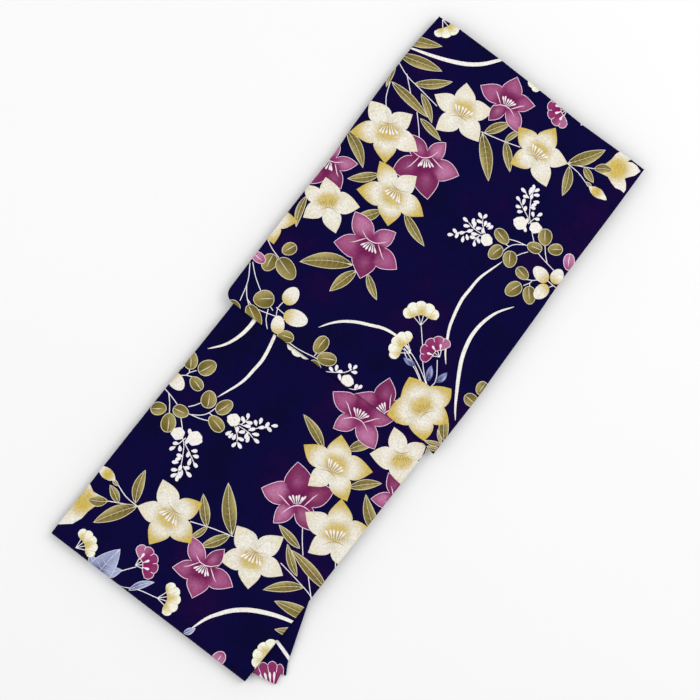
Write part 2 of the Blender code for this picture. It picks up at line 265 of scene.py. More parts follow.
# An open bellflower: fan is where its stamens point, and each tip is its turn and its reach.
# Toned petals, counted from 0, have golden tips on a cream flower and are dark on a plum one.
# Lit petals are paler. A fuller flower's petals part less deeply.
Bloom = namedtuple("Bloom", "across along kind fan toned tips full lit", defaults=(0.0, ()))
BLOOMS = [Bloom(*row) for row in (
    (-78, 86, "cream", 258, (), ((24, 43), (110, 42), (175, 43), (240, 39), (319, 40))),
    (-40, 40, "plum", 260, (1,), ((32, 42), (99, 34), (175, 42), (251, 37), (327, 36))),
    (31, 67, "cream", 272, (1, 2, 3), ((38, 44), (122, 39), (196, 42), (267, 41), (340, 41))),
    (-78, 167, "plum", 55, (1, 2, 3),
     ((344, 47), (51, 48), (128, 46), (207, 39), (280, 37)), 0.05, (0, 4)),
    (-142, 162, "cream", 60, (1, 2), ((1, 48), (60, 45), (142, 48), (204, 45), (293, 37))),
    (-88, 225, "cream", 88, (0, 1, 2, 3), ((0, 48), (64, 43), (149, 49), (210, 45), (288, 38))),
    (-180, 243, "plum", 90, (0, 1), ((29, 39), (100, 40), (175, 40), (250, 40), (327, 38))),
    (-148, 287, "lined", 235, (), ((39, 41), (112, 36), (186, 39), (230, 36), (330, 41))),
    (-72, 298, "plum", 80, (1,), ((4, 46), (70, 45), (147, 47), (209, 48), (295, 38)), 0.04),
    (67.5, 457.5, "plum", 192, (3,), ((30, 44), (100, 42), (174, 40), (246, 44), (320, 43))),
    (107.5, 424, "lined", 205, (0, 1, 2, 3, 4),
     ((354, 37), (53, 43), (133, 46), (211, 45), (287, 44)), 0.13),
    (-196, 345, "cream", 0, (0, 4), ((45, 36), (117, 36), (189, 36), (261, 36), (333, 36))),
)]

# Bellflowers seen from the side, from the foot of the bell.
SideBloom = namedtuple("SideBloom", "across along length turn")
SIDE_BLOOMS = (SideBloom(103, 36, 52, 332),)

# Long leaves, from their stem to their tip.
Leaf = namedtuple("Leaf", "across along tip_across tip_along width kind", defaults=("olive",))
LEAVES = [Leaf(*row) for row in (
    (-202, 51, -152, 32.5, 15), (-189, 71, -131, 59.5, 16), (-150, 94, -112, 62, 13),
    (-185, 83, -176, 117, 8), (-135, 99, -101, 122, 10), (-175, 107, -109, 119, 13),
    (-117, 126, -78, 133, 10), (-40, 90, -20, 58, 13), (-42, 91, 2, 136, 17), (-12, 83, -3, 57, 8),
    (-12, 81, 17, 109, 12), (69, 53, 98, 9, 17), (73, 54, 89, 91, 13), (89, 43, 111, 54, 10),
    (102, 58.5, 114, 62, 5), (-185, 192, -140, 223, 15), (-118, 217, -148, 246, 13),
    (-63, 236, -16, 255, 13), (-88, 253, -110, 281, 14), (-74, 332, -131, 371, 21),
    (-66, 335, -78, 378, 15), (-53, 329, -23, 349, 11), (-175, 293, -161, 336, 10),
    (155, 443, 134, 411, 13), (155.5, 448, 138, 435, 5), (155.5, 447, 132.5, 458, 7),
    (157, 455, 140, 463, 7), (66, 384, 48, 386, 8.5, "slate"), (91, 390.5, 82, 371, 9, "slate"),
    (100.5, 386, 103.5, 367, 9, "slate"), (50.5, -38, 34.5, -15, 14, "sky"),
    (58.5, -38, 76.5, -21, 13, "sky"), (54.5, -59, 52.5, 3, 30, "sky"),
    (13.5, -30, -5, -5, 9, "mist"), (-70.5, -35, -77.5, -21, 8, "mist"),
)]

# Round leaves and buds, with their length, width and the turn of their tip.
Round = namedtuple("Round", "across along length width turn kind", defaults=("olive",))
ROUNDS = [Round(*row) for row in (
    (103.5, 148.5, 23, 18, 55), (123.5, 154.5, 19, 16, 145), (100.5, 167.5, 20, 15.5, 168),
    (58, 181, 24, 16, 12), (63, 202.5, 23, 17, 108), (83.5, 198.5, 22, 19, 60),
    (107, 204.5, 20, 15, 14), (109, 228, 24, 19, 112), (130.5, 223, 24, 17.5, 52),
    (-151, 365, 20, 17, 112), (-161, 394, 25, 20, 80), (-139, 388.5, 33, 23, 20),
    (-138, 438, 27, 24, 140), (-135, 463.5, 33, 18, 28), (-163, 466, 18, 12, 10),
    (-87, 460, 22, 16, 160), (-45, 440, 26, 18, 90), (-28, 450, 26, 18, 150),
    (-34, 466, 18, 12, 10), (151, 357.5, 19, 16, 90), (150, 378.5, 22, 17, 0),
    (127.5, 192, 25, 17.5, 195, "bud"), (146, 181.5, 21, 17, 265, "bud"),
    (140.5, 210, 24, 17, 105, "bud"), (-113, 413.5, 26, 20, 270, "bud"),
    (-91, 433, 32, 22, 340, "bud"), (-104, 454, 24, 17.5, 240, "bud"),
    (123.5, 62, 29, 15, 3, "golden"), (147, 157, 22, 15, 60, "plum"),
    (-175, 396, 20, 14, 10, "plum"), (-121, -34, 19, 16, 90, "plum"),
)]

# Scalloped heads of small flowers, each on stems that meet at one point. Its spread is to each
# side of its turn, and its pale end lies before (-1) or past (1) that turn.
Cloud = namedtuple("Cloud", "across along reach turn spread kind pale_end", defaults=("cream", 0))
CLOUDS = [Cloud(*row) for row in (
    (-175, 2, 27, 0, 84), (41, 338.5, 31, 235, 68), (52, 375, 30, 180, 60),
    (-19.5, -18, 27, 150, 65), (95, -25, 25, 120, 62), (26, -2, 27, 125, 74, "plum", -1),
    (84, 356, 27, 200, 80, "plum", 1),
)]

# Sprays of bush clover: thin stems, and each drop's root and turn, from the spray's middle.
Spray = namedtuple("Spray", "across along stems drops")
SPRAYS = [Spray(*row) for row in (
    (58.7, 118.9,
     (((32, 32), (16, 23), (7, 11), (0, -1), (-3, -10)), ((-10, -2), (-2, 1)),
      ((-10, 11), (2, 17), (13, 22)), ((19, 18), (17, 28))),
     ((-3, -10, 238), (-2, -10, 299), (-3, -7, 225), (0, -6, 326), (-9, -2, 188), (-4, -3, 247),
      (1, 1, 247), (5, 1, 330), (-3, 0, 153), (6, 7, 304), (6, 9, 342), (-9, 11, 193),
      (-3, 13, 247), (4, 18, 243), (-3, 17, 160), (2, 20, 145), (17, 17, 225), (20, 13, 297),
      (19, 18, 330), (15, 30, 250), (14, 33, 40))),
    (31, 195.1,
     (((16, -1), (3, 3), (-10, 7), (-22, 19)), ((8, -3), (-2, -10), (-6, -16)),
      ((4, 0), (-10, 1), (-18, -1)), ((3, 3), (1, 13))),
     ((-7, -16, 202), (-6, -17, 277), (-3, -12, 166), (1, -10, 256), (4, -11, 276), (7, -10, 291),
      (-13, -2, 252), (-19, -1, 183), (-14, 2, 150), (-9, 1, 254), (0, -6, 140), (1, -8, 60),
      (-8, 3, 129), (0, 4, 150), (1, 9, 156), (1, 7, 30), (1, 13, 56), (-12, 13, 40), (-14, 17, 69),
      (-15, 12, 135), (-22, 17, 85), (-22, 20, 191), (-26, 24, 142))),
    (5.5, 450,
     (((-25, 14), (-15, 7), (-5, -1), (0, -10)), ((10, 13), (19, 8), (23, 2))),
     ((1, -11, 276), (-1, -8, 225), (1, -7, 330), (-15, 5, 246), (-17, 8, 196), (-14, 5, 320),
      (-3, 11, 221), (18, 8, 264), (21, 5, 284))),
)]

# White clover flowers: how wide they are, and the turn of their pointed corner.
Blob = namedtuple("Blob", "across along size corner")
BLOBS = [Blob(*row) for row in (
    (86, 145.5, 16, 330), (67, 152.5, 18.5, 168), (44.5, 197.3, 16.5, 350), (9.5, 455.5, 17, 345),
)]

# Blades of grass, as a width and the places that each passes through, and then thin stems.
GRASS = (
    (5.4, ((-190, 58), (-152, 49.5), (-130, 41.5), (-112, 32), (-98, 20.5), (-88, 8), (-80, -5),
           (-73, -26))),
    (4.0, ((77, 207), (66, 239), (64, 262), (64, 282), (71, 314), (79, 332), (86, 346),
           (96, 359))),
    (4.9, ((123, 247), (110, 265), (103, 285), (101, 305), (103, 322), (108, 341), (117, 361),
           (128, 381), (139, 399), (149, 412))),
    (3.9, ((-61, 424), (-52, 410), (-41, 398), (-27, 388), (-11, 380), (6, 372), (27, 369),
           (50, 372))),
)
STEMS = (
    ((-190, 76), (-163, 90), (-135, 96), (-109, 100)), ((-165, 88), (-144, 109)),
    ((-176, 108), (-168, 129), (-156, 145)), ((-125, 122), (-112, 136), (-100, 151)),
    ((-44, 91), (-15, 83), (8, 75)), ((69, 53), (86, 45), (103, 37)),
    ((69, 53), (87, 54), (105, 60)), ((86, 153), (97, 163)), ((110, 158), (117, 167), (126, 176)),
    ((108, 171), (122, 175), (138, 178)), ((68, 178), (78, 174), (91, 171)),
    ((88, 172), (79, 178), (73, 186), (70, 198)), ((63, 186), (74, 186)),
    ((97, 177), (92, 183), (88, 190)), ((116, 208), (123, 205), (129, 200)),
    ((123, 206), (122, 210), (117, 217)), ((122, 210), (126, 215)),
    ((139, 193.5), (148, 194), (156, 194)), ((149, 194), (146, 199)),
    ((-181, 369), (-168, 377), (-155, 382)), ((-178, 405), (-163, 420), (-143, 434), (-120, 443)),
    ((-180, 408), (-168, 430), (-161, 457)), ((-167, 434), (-155, 450), (-134, 466)),
    ((-155, 450), (-139, 454), (-100, 443)), ((-116, 426), (-117, 437), (-110, 450)),
    ((-119, 437), (-100, 438)), ((-126, 445), (-120, 458), (-110, 468)),
    ((-97, 463), (-67, 463), (-41, 458), (-24, 456)), ((-42, 437), (-43, 457)),
    ((42, 339), (59, 359), (72, 376), (84, 388), (97, 399)),
    ((41, 372), (55, 375.5), (70, 382), (84, 390), (97, 400)),
    ((41, 375), (54, 379.5), (72, 388), (89, 399)), ((44, 379), (53, 384), (68, 388), (87, 399)),
    ((84, 361), (96, 379), (99, 387), (97, 400)), ((30, -37), (8, -24), (-19.5, -18)),
    ((24, -3), (35, -17), (44, -33)), ((-68, 326), (-68, 336)),
)
STEM_WIDTH = 1.0
STAMENS = 6

# A patch of print: its edge, more places where its colour is worked out, and what colours them.
Patch = namedtuple("Patch", "ring inner paint")
NONE = np.empty((0, 2))


def even(colour):
    """The paint of one colour."""
    return lambda points: np.broadcast_to(colour, (len(points), 3))


def plain(ring, colour):
    """A patch of one colour."""
    return Patch(ring, NONE, even(colour))


def wobble(seed, amount):
    """A fixed unevenness for one detail, between -amount and amount."""
    return amount * math.sin(seed * 12.9898 + 4.1 * math.sin(seed * 3.17))


def axes(turn):
    """A motif's own directions: out towards its turn, and beside that."""
    out = towards(turn)
    return np.array((out, (-out[1], out[0])))


def placed(shape, origin, turn, size=1.0):
    """Points given out and beside a direction, laid on the chart."""
    return np.asarray(origin, float) + np.array(shape, float) @ axes(turn) * size


def seen_from(points, origin, turn, size=1.0):
    """How far out and beside a direction points on the chart lie."""
    return ((points - origin) @ axes(turn).T / size).T


def polar(off):
    return np.linalg.norm(off, axis=1), np.degrees(np.arctan2(off[:, 1], off[:, 0])) % 360


def inset(ring, by):
    """A ring drawn in by a distance all round."""
    run = np.roll(ring, -1, axis=0) - np.roll(ring, 1, axis=0)
    run *= np.sign(twice_area(ring)) * by / np.linalg.norm(run, axis=1)[:, None]
    return ring + np.stack([-run[:, 1], run[:, 0]], axis=1)


def inside(ring, points):
    """Which points lie inside a ring."""
    after = np.roll(ring, -1, axis=0)
    rise = after[:, 1] - ring[:, 1]
    slope = (after[:, 0] - ring[:, 0]) / np.where(rise == 0, 1.0, rise)
    found = []
    for some in np.array_split(points, len(points) // 5000 + 1):
        up = some[:, 1, None]
        crossed = (ring[:, 1] > up) != (after[:, 1] > up)
        crossed &= some[:, 0, None] < ring[:, 0] + (up - ring[:, 1]) * slope
        found.append(crossed.sum(axis=1) % 2 == 1)
    return np.concatenate(found)


def stroke(points, width, colour, taper=True, spacing=5.0):
    """A brushed line that thins at its ends."""
    line = curve_through(points, spacing)
    run = np.gradient(line, axis=0)
    run /= np.linalg.norm(run, axis=1)[:, None]
    t = np.linspace(0, 1, len(line))
    half = width / 2 * (np.sin(math.pi * t) ** 0.6 * 0.88 + 0.12 if taper else np.ones_like(t))
    off = np.stack([-run[:, 1], run[:, 0]], axis=1) * half[:, None]
    return plain(np.concatenate([line + off, (line - off)[::-1]]), colour)


# A small drop's and a stamen's outline: half their width at shares of their length.
DROP = ((0, 0.10), (0.22, 0.30), (0.45, 0.48), (0.7, 0.5), (0.9, 0.36), (1.0, 0.14))
CLUB = ((0, 0.10), (0.35, 0.17), (0.58, 0.36), (0.78, 0.5), (0.93, 0.38), (1.0, 0.12))


def club(foot, turn, length, width, profile=CLUB):
    """A white stamen or small drop: narrow at its foot and round at its tip."""
    shape = [(t * length, w * width) for t, w in profile]
    shape += [(t, -w) for t, w in shape[::-1]]
    return plain(placed(shape, foot, turn), WHITE)


# How far out two petals part, as a share of their reach, and how much deeper behind the stamens.
PARTING = {"cream": (0.53, 0.05), "lined": (0.53, 0.05), "plum": (0.47, 0.13)}


def bloom_outline(bloom, centre):
    """A flower's edge, round each petal by way of its tip."""
    share, lean = PARTING[bloom.kind]
    between = []
    for k in range(6):
        (before, near), (after, far) = bloom.tips[k - 1], bloom.tips[k % 5]
        turn = before + (after - before) % 360 / 2
        depth = share + bloom.full + lean * math.cos(math.radians(turn - bloom.fan))
        between.append((turn, depth * (near + far) / 2))
    ring = []
    for k, (tip, reach) in enumerate(bloom.tips):
        for back, (turn, depth) in enumerate(between[k:k + 2]):
            gap = around(turn - tip)
            curve = [(depth, turn), (0.74 * reach, tip + 0.84 * gap)]
            curve += [(0.88 * reach, tip + (0.2 + 2 * bloom.full) * gap), (reach, tip)]
            points = [centre + towards(t) * r for r, t in curve]
            ring.append(bezier(points[::-1] if back else points, 8))
    return np.concatenate(ring)


# How far from a flower's middle each ring of its shading lies, and in how many places.
BLOOM_RINGS = (
    (2.5, 8), (5, 12), (7.5, 15), (10, 18), (13, 20), (17, 22), (22, 24), (28, 26), (34, 26),
)


def bloom_places(centre, ring):
    """Points inside a flower where its shading is worked out, closest in its throat."""
    rim, turns = polar(ring - centre)
    made = []
    for reach, count in BLOOM_RINGS:
        turn = (np.arange(count) * 360 / count + 7 * reach) % 360
        within = reach < np.interp(turn, turns, rim, period=360) - 2.0
        made.append(centre + towards(turn[within]) * reach)
    return np.concatenate(made)


def bloom_paint(bloom, centre, ring, radius):
    """Petals shaded towards their tips, their sides and the flower's throat."""
    tips, reaches = np.array(bloom.tips, float).T
    rim, rim_turns = polar(ring - centre)
    toned, lit = np.isin(np.arange(5), bloom.toned), np.isin(np.arange(5), bloom.lit)

    def paint(points):
        out, turn = polar(points - centre)
        apart = around(turn[:, None] - tips)
        petal = np.abs(apart).argmin(axis=1)
        beside = apart[np.arange(len(turn)), petal] / 36
        edge = out / np.interp(turn, rim_turns, rim, period=360)
        far = out / reaches[petal]
        front, side = seen_from(points, centre, bloom.fan, radius)
        crease = smooth((np.abs(beside) - 0.4) / 0.5) * smooth((0.96 - edge) / 0.4)
        if bloom.kind != "plum":
            colour = mix(IVORY, SHADE, 0.6 * crease)
            tip = smooth((0.25 * edge + 0.75 * far - 0.49) / 0.40)
            colour = mix(colour, GOLD, np.where(toned[petal], 0.95, 0.25) * tip)
            glow = smooth(1.5 - np.hypot(side / 0.36, (front - 0.10) / 0.27))
            colour = mix(colour, GOLD, 0.85 * glow * smooth((front + 0.34) / 0.24))
            deep = 0.15 if bloom.kind == "lined" else 0.5
            throat = smooth(1.4 - np.hypot(side / 0.26, (front + 0.02) / 0.13))
            return mix(colour, KHAKI, deep * throat)
        back = smooth((-0.12 - front) / 0.06)
        glow = smooth((far - 0.2) / 0.35) * smooth((1.1 - edge) / 0.4) * smooth(0.9 + 0.7 * beside)
        colour = mix(PLUM, PLUM_LIGHT, (0.45 + 0.5 * np.maximum(back, lit[petal])) * glow)
        tone = smooth((far + 0.5 * np.abs(beside) - 0.35) / 0.5)
        colour = mix(colour, PLUM_DARK, 0.75 * toned[petal] * tone)
        throat = smooth((0.55 - out / radius) / 0.35) * (1 - back)
        return mix(mix(colour, PLUM_DARK, 0.9 * throat), PLUM_DARK, 0.45 * crease)

    return paint


# Lines on a bellflower, as shares of its reach, out towards its stamens and beside that.
LIP = ((-0.34, -0.40), (-0.17, -0.18), (-0.12, 0.0), (-0.15, 0.19), (-0.31, 0.42))
VEIN = ((-0.15, 0.18), (0.0, 0.33), (0.12, 0.45), (0.19, 0.56))
CREAM_LIP = ((-0.26, -0.30), (-0.18, -0.14), (-0.15, 0.0), (-0.18, 0.14), (-0.24, 0.28))


def bellflower(bloom):
    """An open bellflower: its petals, the lip of its bell and its stamens."""
    centre = spot(bloom)
    radius = sum(reach for turn, reach in bloom.tips) / 5
    ring = bloom_outline(bloom, centre)
    paint = bloom_paint(bloom, centre, ring, radius)
    if bloom.kind == "plum":
        yield plain(ring, PLUM_EDGE)
        yield Patch(inset(ring, 0.7), bloom_places(centre, ring), paint)
        lines, width, line = [LIP, VEIN, [(a, -b) for a, b in VEIN]], 1.15, PLUM_EDGE
        apart, spread, length, thick = 1.4, 15, 11.0, 2.4
    else:
        yield Patch(ring, bloom_places(centre, ring), paint)
        lines, width, line = [CREAM_LIP], 0.9, KHAKI
        apart, spread, length, thick = 2.4, 14, 10.6, 2.6
    for points in lines:
        yield stroke(placed(points, centre, bloom.fan, radius), width, line, spacing=4.0)
    for k in range(STAMENS):
        step = k - (STAMENS - 1) / 2
        foot = placed((-4.4 + 0.4 * abs(step), apart * step), centre, bloom.fan)
        reach = length + wobble(k + radius, 1.0)
        turn = bloom.fan + spread * step + wobble(k + bloom.fan, 4)
        if bloom.kind == "lined":
            yield stroke([foot, foot + towards(turn) * reach], 0.9, KHAKI)
        else:
            yield club(foot, turn, reach, thick)


# The outline of a bellflower seen from the side, as shares of its length, and where its shading
# is worked out.
SIDE_BODY = (
    (-0.07, 0.00), (0.06, -0.10), (0.21, -0.15), (0.33, -0.28), (0.42, -0.43), (0.60, -0.58),
    (0.91, -0.63), (1.13, -0.64), (0.94, -0.44), (0.72, -0.27), (0.86, -0.26), (0.98, -0.20),
    (1.09, -0.08), (0.96, 0.05), (0.82, 0.11), (0.72, 0.16), (0.77, 0.28), (0.79, 0.42),
    (0.75, 0.52), (0.66, 0.46), (0.52, 0.43), (0.40, 0.32), (0.30, 0.18), (0.12, 0.11),
    (-0.04, 0.05),
)
SIDE_PLACES = ((0.16, 0.26, 0.36, 0.48, 0.6, 0.7), (-0.24, -0.12, 0.0, 0.12))


def side_bloom(bloom):
    """A golden bellflower seen from the side, with three pale lobes at its mouth."""
    foot = spot(bloom)
    body = np.array(SIDE_BODY)
    places = np.stack(np.meshgrid(*SIDE_PLACES, indexing="ij"), axis=-1).reshape(-1, 2)

    def lay(points):
        return placed(points, foot, bloom.turn, bloom.length)

    def paint(points):
        out, beside = seen_from(points, foot, bloom.turn, bloom.length)
        glow = smooth(1.5 - np.hypot((out - 0.48) / 0.30, (beside + 0.05) / 0.30))
        return mix(KHAKI, mix(IVORY, GOLD, 0.95 * glow), smooth((out - 0.02) / 0.2))

    calyx = Leaf(*(foot - towards(bloom.turn) * 3), *lay((0.40, 0.0)), 13)
    yield Patch(lay(body), lay(places[inside(body, places)]), paint)
    yield from long_leaf(calyx)


# A leaf's edge, its dark, middle and light tones, its veins, and where its dark foot ends.
LEAF_TONES = {
    "olive": (LEAF_EDGE, OLIVE_DARK, OLIVE, OLIVE_LIGHT, mix(OLIVE, OLIVE_LIGHT, 0.8), 0.1),
    "sky": (LILAC_PALE, LILAC_DARK, mix(LILAC, LILAC_LIGHT, 0.6), LILAC_LIGHT, LILAC_PALE, -0.55),
    "mist": (LILAC_PALE, LILAC_DARK, mix(LILAC, LILAC_LIGHT, 0.6), LILAC_LIGHT, LILAC_PALE, -0.35),
    "slate": (
        LILAC, mix(NAVY, SLATE, 0.4), mix(LILAC, LILAC_LIGHT, 0.3), LILAC_PALE, LILAC_LIGHT, -0.55,
    ),
}


def long_leaf(leaf):
    """A pointed leaf, a little bent, with a pale edge, a pale midrib and faint veins."""
    foot = spot(leaf)
    along = np.array((leaf.tip_across, leaf.tip_along), float) - foot
    length = np.linalg.norm(along)
    side = np.array((-along[1], along[0])) / length
    bend = wobble(leaf.across + 2 * leaf.along, 0.06) * length
    edge, dark, fill, light, veined, start = LEAF_TONES[leaf.kind]

    def at(s, share, in_by=0.0):
        s = np.asarray(s, float)
        half = leaf.width / 2 * np.sin(math.pi * np.clip(s, 0, 1) ** 0.9) ** 0.85
        off = bend * 4 * s * (1 - s) + share * np.maximum(half - in_by, 0.05)
        return foot + np.outer(s, along) + np.outer(off, side)

    def half_paint(glow):
        def paint(points):
            off = points - foot
            far = off @ along / length**2
            wide = np.abs(off @ side - bend * 4 * far * (1 - far)) / (leaf.width / 2)
            colour = mix(dark, fill, smooth(start + (1.2 - start) * far + 0.6 * wide))
            return mix(colour, light, glow * smooth(wide * 1.3) * smooth(far * 1.5))

        return paint

    whole = np.linspace(0, 1, 13)
    yield plain(np.concatenate([at(whole, 1), at(whole, -1)[1:-1][::-1]]), edge)
    short = 0.04 + 0.93 * whole
    middle = at(short, 0)
    for share, glow in ((1, 0.75), (-1, 0.1)):
        rim = at(short, share, 0.8)
        ring = np.concatenate([rim, (middle + 0.32 * share * side)[1:-1][::-1]])
        yield Patch(ring, (rim + middle)[2:-2:2] / 2, half_paint(glow))
        for s in np.arange(0.16, 0.72, 7.0 / length):
            root = at([s, s + 0.35 / length * 2], 0)
            yield plain(np.concatenate([root, at([s + 5.5 / length], share, 1.4)]), veined)


def ellipse(leaf, in_by, count=20):
    """A round leaf's edge, drawn in by a distance."""
    t = np.linspace(0, 2 * math.pi, count, endpoint=False)
    a = np.cos(t) * (leaf.length / 2 - in_by)
    b = np.sin(t) * (leaf.width / 2 - in_by) * (1 - 0.1 * np.cos(t))
    return placed(np.stack([a, b], axis=1), spot(leaf), leaf.turn)


def round_leaf(leaf):
    """A clover leaf with a pale rim and a short midrib, or a golden leaf or shaded bud."""
    centre = spot(leaf)

    def lay(points):
        return placed(points, centre, leaf.turn, leaf.length)

    def seen(points):
        return seen_from(points, centre, leaf.turn, leaf.length)

    def shaded(near, far, start=0.2, width=0.8):
        return lambda points: mix(near, far, smooth((seen(points)[0] + 0.5 - start) / width))

    def halved(points):
        out, side = seen(points)
        colour = mix(OLIVE, OLIVE_LIGHT, 0.5 * smooth(side * 1.6 + 0.4))
        return mix(colour, OLIVE_DARK, 0.7 * smooth(0.3 - 1.4 * out) * smooth(0.8 - side * 2))

    def glowing(points):
        out, side = seen(points)
        return mix(IVORY, GOLD, 0.95 * smooth(1.5 - np.hypot((out + 0.1) / 0.24, side / 0.3)))

    inner = np.concatenate([[centre], *(ellipse(leaf, leaf.width * s, 10) for s in (0.2, 0.34))])
    rims = {"olive": (LEAF_EDGE, halved), "plum": (PLUM_EDGE, shaded(PLUM_LIGHT, PLUM, 0.3, 0.9))}
    if leaf.kind in rims:
        rim, paint = rims[leaf.kind]
        yield plain(ellipse(leaf, 0), rim)
        yield Patch(ellipse(leaf, 0.8), inner, paint)
        yield stroke(lay([(-0.5, 0), (0, 0.02), (0.3, 0)]), 1.1, rim)
    elif leaf.kind == "golden":
        half = [(-0.5, 0), (-0.3, 0.16), (0, 0.22), (0.25, 0.14), (0.5, 0)]
        ring = curve_through(lay(half + [(a, -b) for a, b in half[-2:0:-1]]), 3.0)
        yield Patch(ring, inner, glowing)
    else:
        yield Patch(ellipse(leaf, 0), inner, shaded(mix(IVORY, GOLD, 0.85), IVORY, 0.02, 0.6))


def cloud(head):
    """A fan of tiny flowers with a scalloped edge, over the thin stems that carry it."""
    foot = spot(head)
    cream = head.kind == "cream"
    deep, near, far = (0.28, GOLD, LEMON) if cream else (0.40, MAGENTA, PLUM)
    bumps = 6 if head.spread > 80 else 5
    share = np.linspace(-1, 1, bumps * 6 + 1)
    scallop = np.abs(np.sin(math.pi * np.arange(bumps * 6 + 1) / 6)) ** 0.7
    ends = np.sqrt(1 - share**4)
    turns = head.turn + share * head.spread

    def heading(share):
        return towards(head.turn + share * head.spread) * head.reach

    def arc(reach, pick=slice(None)):
        return foot + towards(turns[pick]) * (head.reach * reach)[pick, None]

    def paint(points):
        out, turn = polar(points - foot)
        patchy = 0.12 * np.sin(np.radians(turn * 7 + head.across))
        end = around(turn - head.turn) / head.spread
        pale = smooth((out / head.reach + patchy + 0.14 * end**2 - 0.49) / 0.38)
        lit = 0.65 * abs(head.pale_end) * smooth((end * head.pale_end - 0.25) / 0.4)
        return mix(mix(mix(near, far, 0.15), far, pale), PLUM_LIGHT, lit)

    outer = arc(0.70 + 0.30 * ends * (0.74 + 0.26 * scallop))
    inner = arc(0.70 - deep * ends)[1:-1:3][::-1]
    places = np.concatenate([arc(0.70 + 0.15 * ends * s, slice(2, -2, 3)) for s in (-1, 0, 1)])
    ring = np.concatenate([outer, inner])
    for stem in np.linspace(-0.62, 0.62, 4):
        yield stroke([foot, foot + heading(stem) * 0.5], 0.9, WHITE, False)
    if not cream:
        yield plain(ring, PLUM_EDGE)
        ring = inset(ring, 0.75)
    yield Patch(ring, places, paint)
    if not cream:
        drops, root = (5, 0.42) if head.reach > 40 else (3, 0.29)
        for share in np.linspace(-0.5, 0.5, drops):
            turn = head.turn + share * head.spread
            yield club(foot + heading(share) * root, turn, head.reach * 0.33, 3.2)
    start, paler = (0.58, mix(GOLD, LEMON, 0.35)) if cream else (0.74, PLUM_EDGE)
    for share in 2 * np.arange(1, bumps) / bumps - 1:
        parting = [foot + heading(share) * start, foot + heading(share) * 0.9]
        yield stroke(parting, 0.8, paler, False)


def spray(row):
    """A spray of bush clover: its stems, and the white drops of its flowers."""
    for stem in row.stems:
        yield stroke(spot(row) + stem, STEM_WIDTH, WHITE, taper=False)
    for across, along, turn in row.drops:
        length = 7.9 + wobble(7 * across + along, 0.8)
        yield club(spot(row) + (across, along), turn, length, 4.3, DROP)


def blob(flower):
    """A white clover flower: a lobed round with one pointed corner."""
    t = np.linspace(0, 360, 40, endpoint=False)
    point = 0.20 * np.exp(-((around(t - flower.corner) / 13) ** 2))
    reach = flower.size / 2 * (0.92 + 0.04 * np.sin(np.radians(6 * t)) + point)
    yield plain(spot(flower) + towards(t) * reach[:, None], BLADE)


def one_repeat():
    """The motifs of one repeat, each a list of patches, those beneath first."""
    motifs = [[stroke(places, STEM_WIDTH, WHITE, taper=False)] for places in STEMS]
    motifs += [[stroke(places, width, BLADE)] for width, places in GRASS]
    for make, table in (
        (spray, SPRAYS), (blob, BLOBS), (long_leaf, LEAVES), (round_leaf, ROUNDS),
        (cloud, CLOUDS), (side_bloom, SIDE_BLOOMS), (bellflower, BLOOMS),
    ):
        motifs += [list(make(row)) for row in table]
    return motifs


MOTIFS = one_repeat()

# The back panel's cloth lies a little askew, so its print is off the chart. It is moved across,
# leans, is stretched before one place along the chart and bulges past it. A few steps undo that.
PULL_ACROSS = 3.4
PULL_LEAN = 0.030
PULL_STRETCH = 0.055
PULL_STRETCH_ACROSS = 0.0003
PULL_FROM = 105
PULL_BULGE = 5.0
PULL_BULGE_LENGTH = 205
PULL_STEPS = 4


def pull(points):
    """How far the back panel's print is pulled from the chart."""
    across, along = np.clip(points[:, 0], -200, 200), np.clip(points[:, 1], -80, 320)
    lean = PULL_LEAN * np.clip((across + 150) / 120, 0, 1)
    past = along - PULL_FROM
    bulge = PULL_BULGE * np.sin(math.pi * np.minimum(past / PULL_BULGE_LENGTH, 1))
    stretch = (PULL_STRETCH + PULL_STRETCH_ACROSS * across) * past
    return np.stack([PULL_ACROSS - lean * (along - 50), np.where(past > 0, bulge, stretch)], axis=1)


def charted(paint, chart):
    """A patch's paint, for places on a sheet in place of those on the chart."""
    return lambda points: paint(chart(points))


def printed(shows, centre=(0, 0), turned=False, scale=1.0, repeats=(0,), motifs=None, askew=False):
    """The patches of print on one sheet, those beneath first.

    The chart's zero lies at centre on the sheet, and shows(points) says which points can be seen.
    """
    size = MM * scale * (-1 if turned else 1)
    patches = []
    for repeat in repeats:
        offset = np.array((0.0, repeat * REPEAT))

        def lay(points, offset=offset):
            points = points + offset
            return centre + (points + pull(points) if askew else points) * size

        def chart(points, offset=offset):
            seen = found = (points - centre) / size
            for _ in range(PULL_STEPS if askew else 0):
                found = seen - pull(found)
            return found - offset

        for motif in motifs or MOTIFS:
            outlines = [lay(patch.ring) for patch in motif]
            if not shows(np.concatenate(outlines)).any():
                continue
            for patch, ring in zip(motif, outlines):
                patches.append(Patch(ring, lay(patch.inner), charted(patch.paint, chart)))
    return patches


# ---- sheets of cloth

# How far apart a sheet's own points are, outside and on its reverse.
GRID = 0.0060
BACK_GRID = 0.0140
# How far lines run past its edges, how close two points count as one, and a step for its slope.
LINE_OVERLAP = 0.001
CDT_REACH = 1e-6
NORMAL_STEP = 0.0002

# Where a sheet's faces lie in its bake map: its print, its reverse and its edge.
MAP_MARGIN = 0.01
FRONT_ROWS = (0.06, 0.99)
REVERSE_ROWS = (0.03, 0.045)
EDGE_ROWS = (0.008, 0.016)


def grid_points(outline, spacing):
    """Points of an even grid over an outline's box."""
    low, high = outline.min(axis=0), outline.max(axis=0)
    sides = [np.arange(low[k] + spacing / 2, high[k], spacing) for k in (0, 1)]
    return np.stack(np.meshgrid(*sides), axis=-1).reshape(-1, 2)


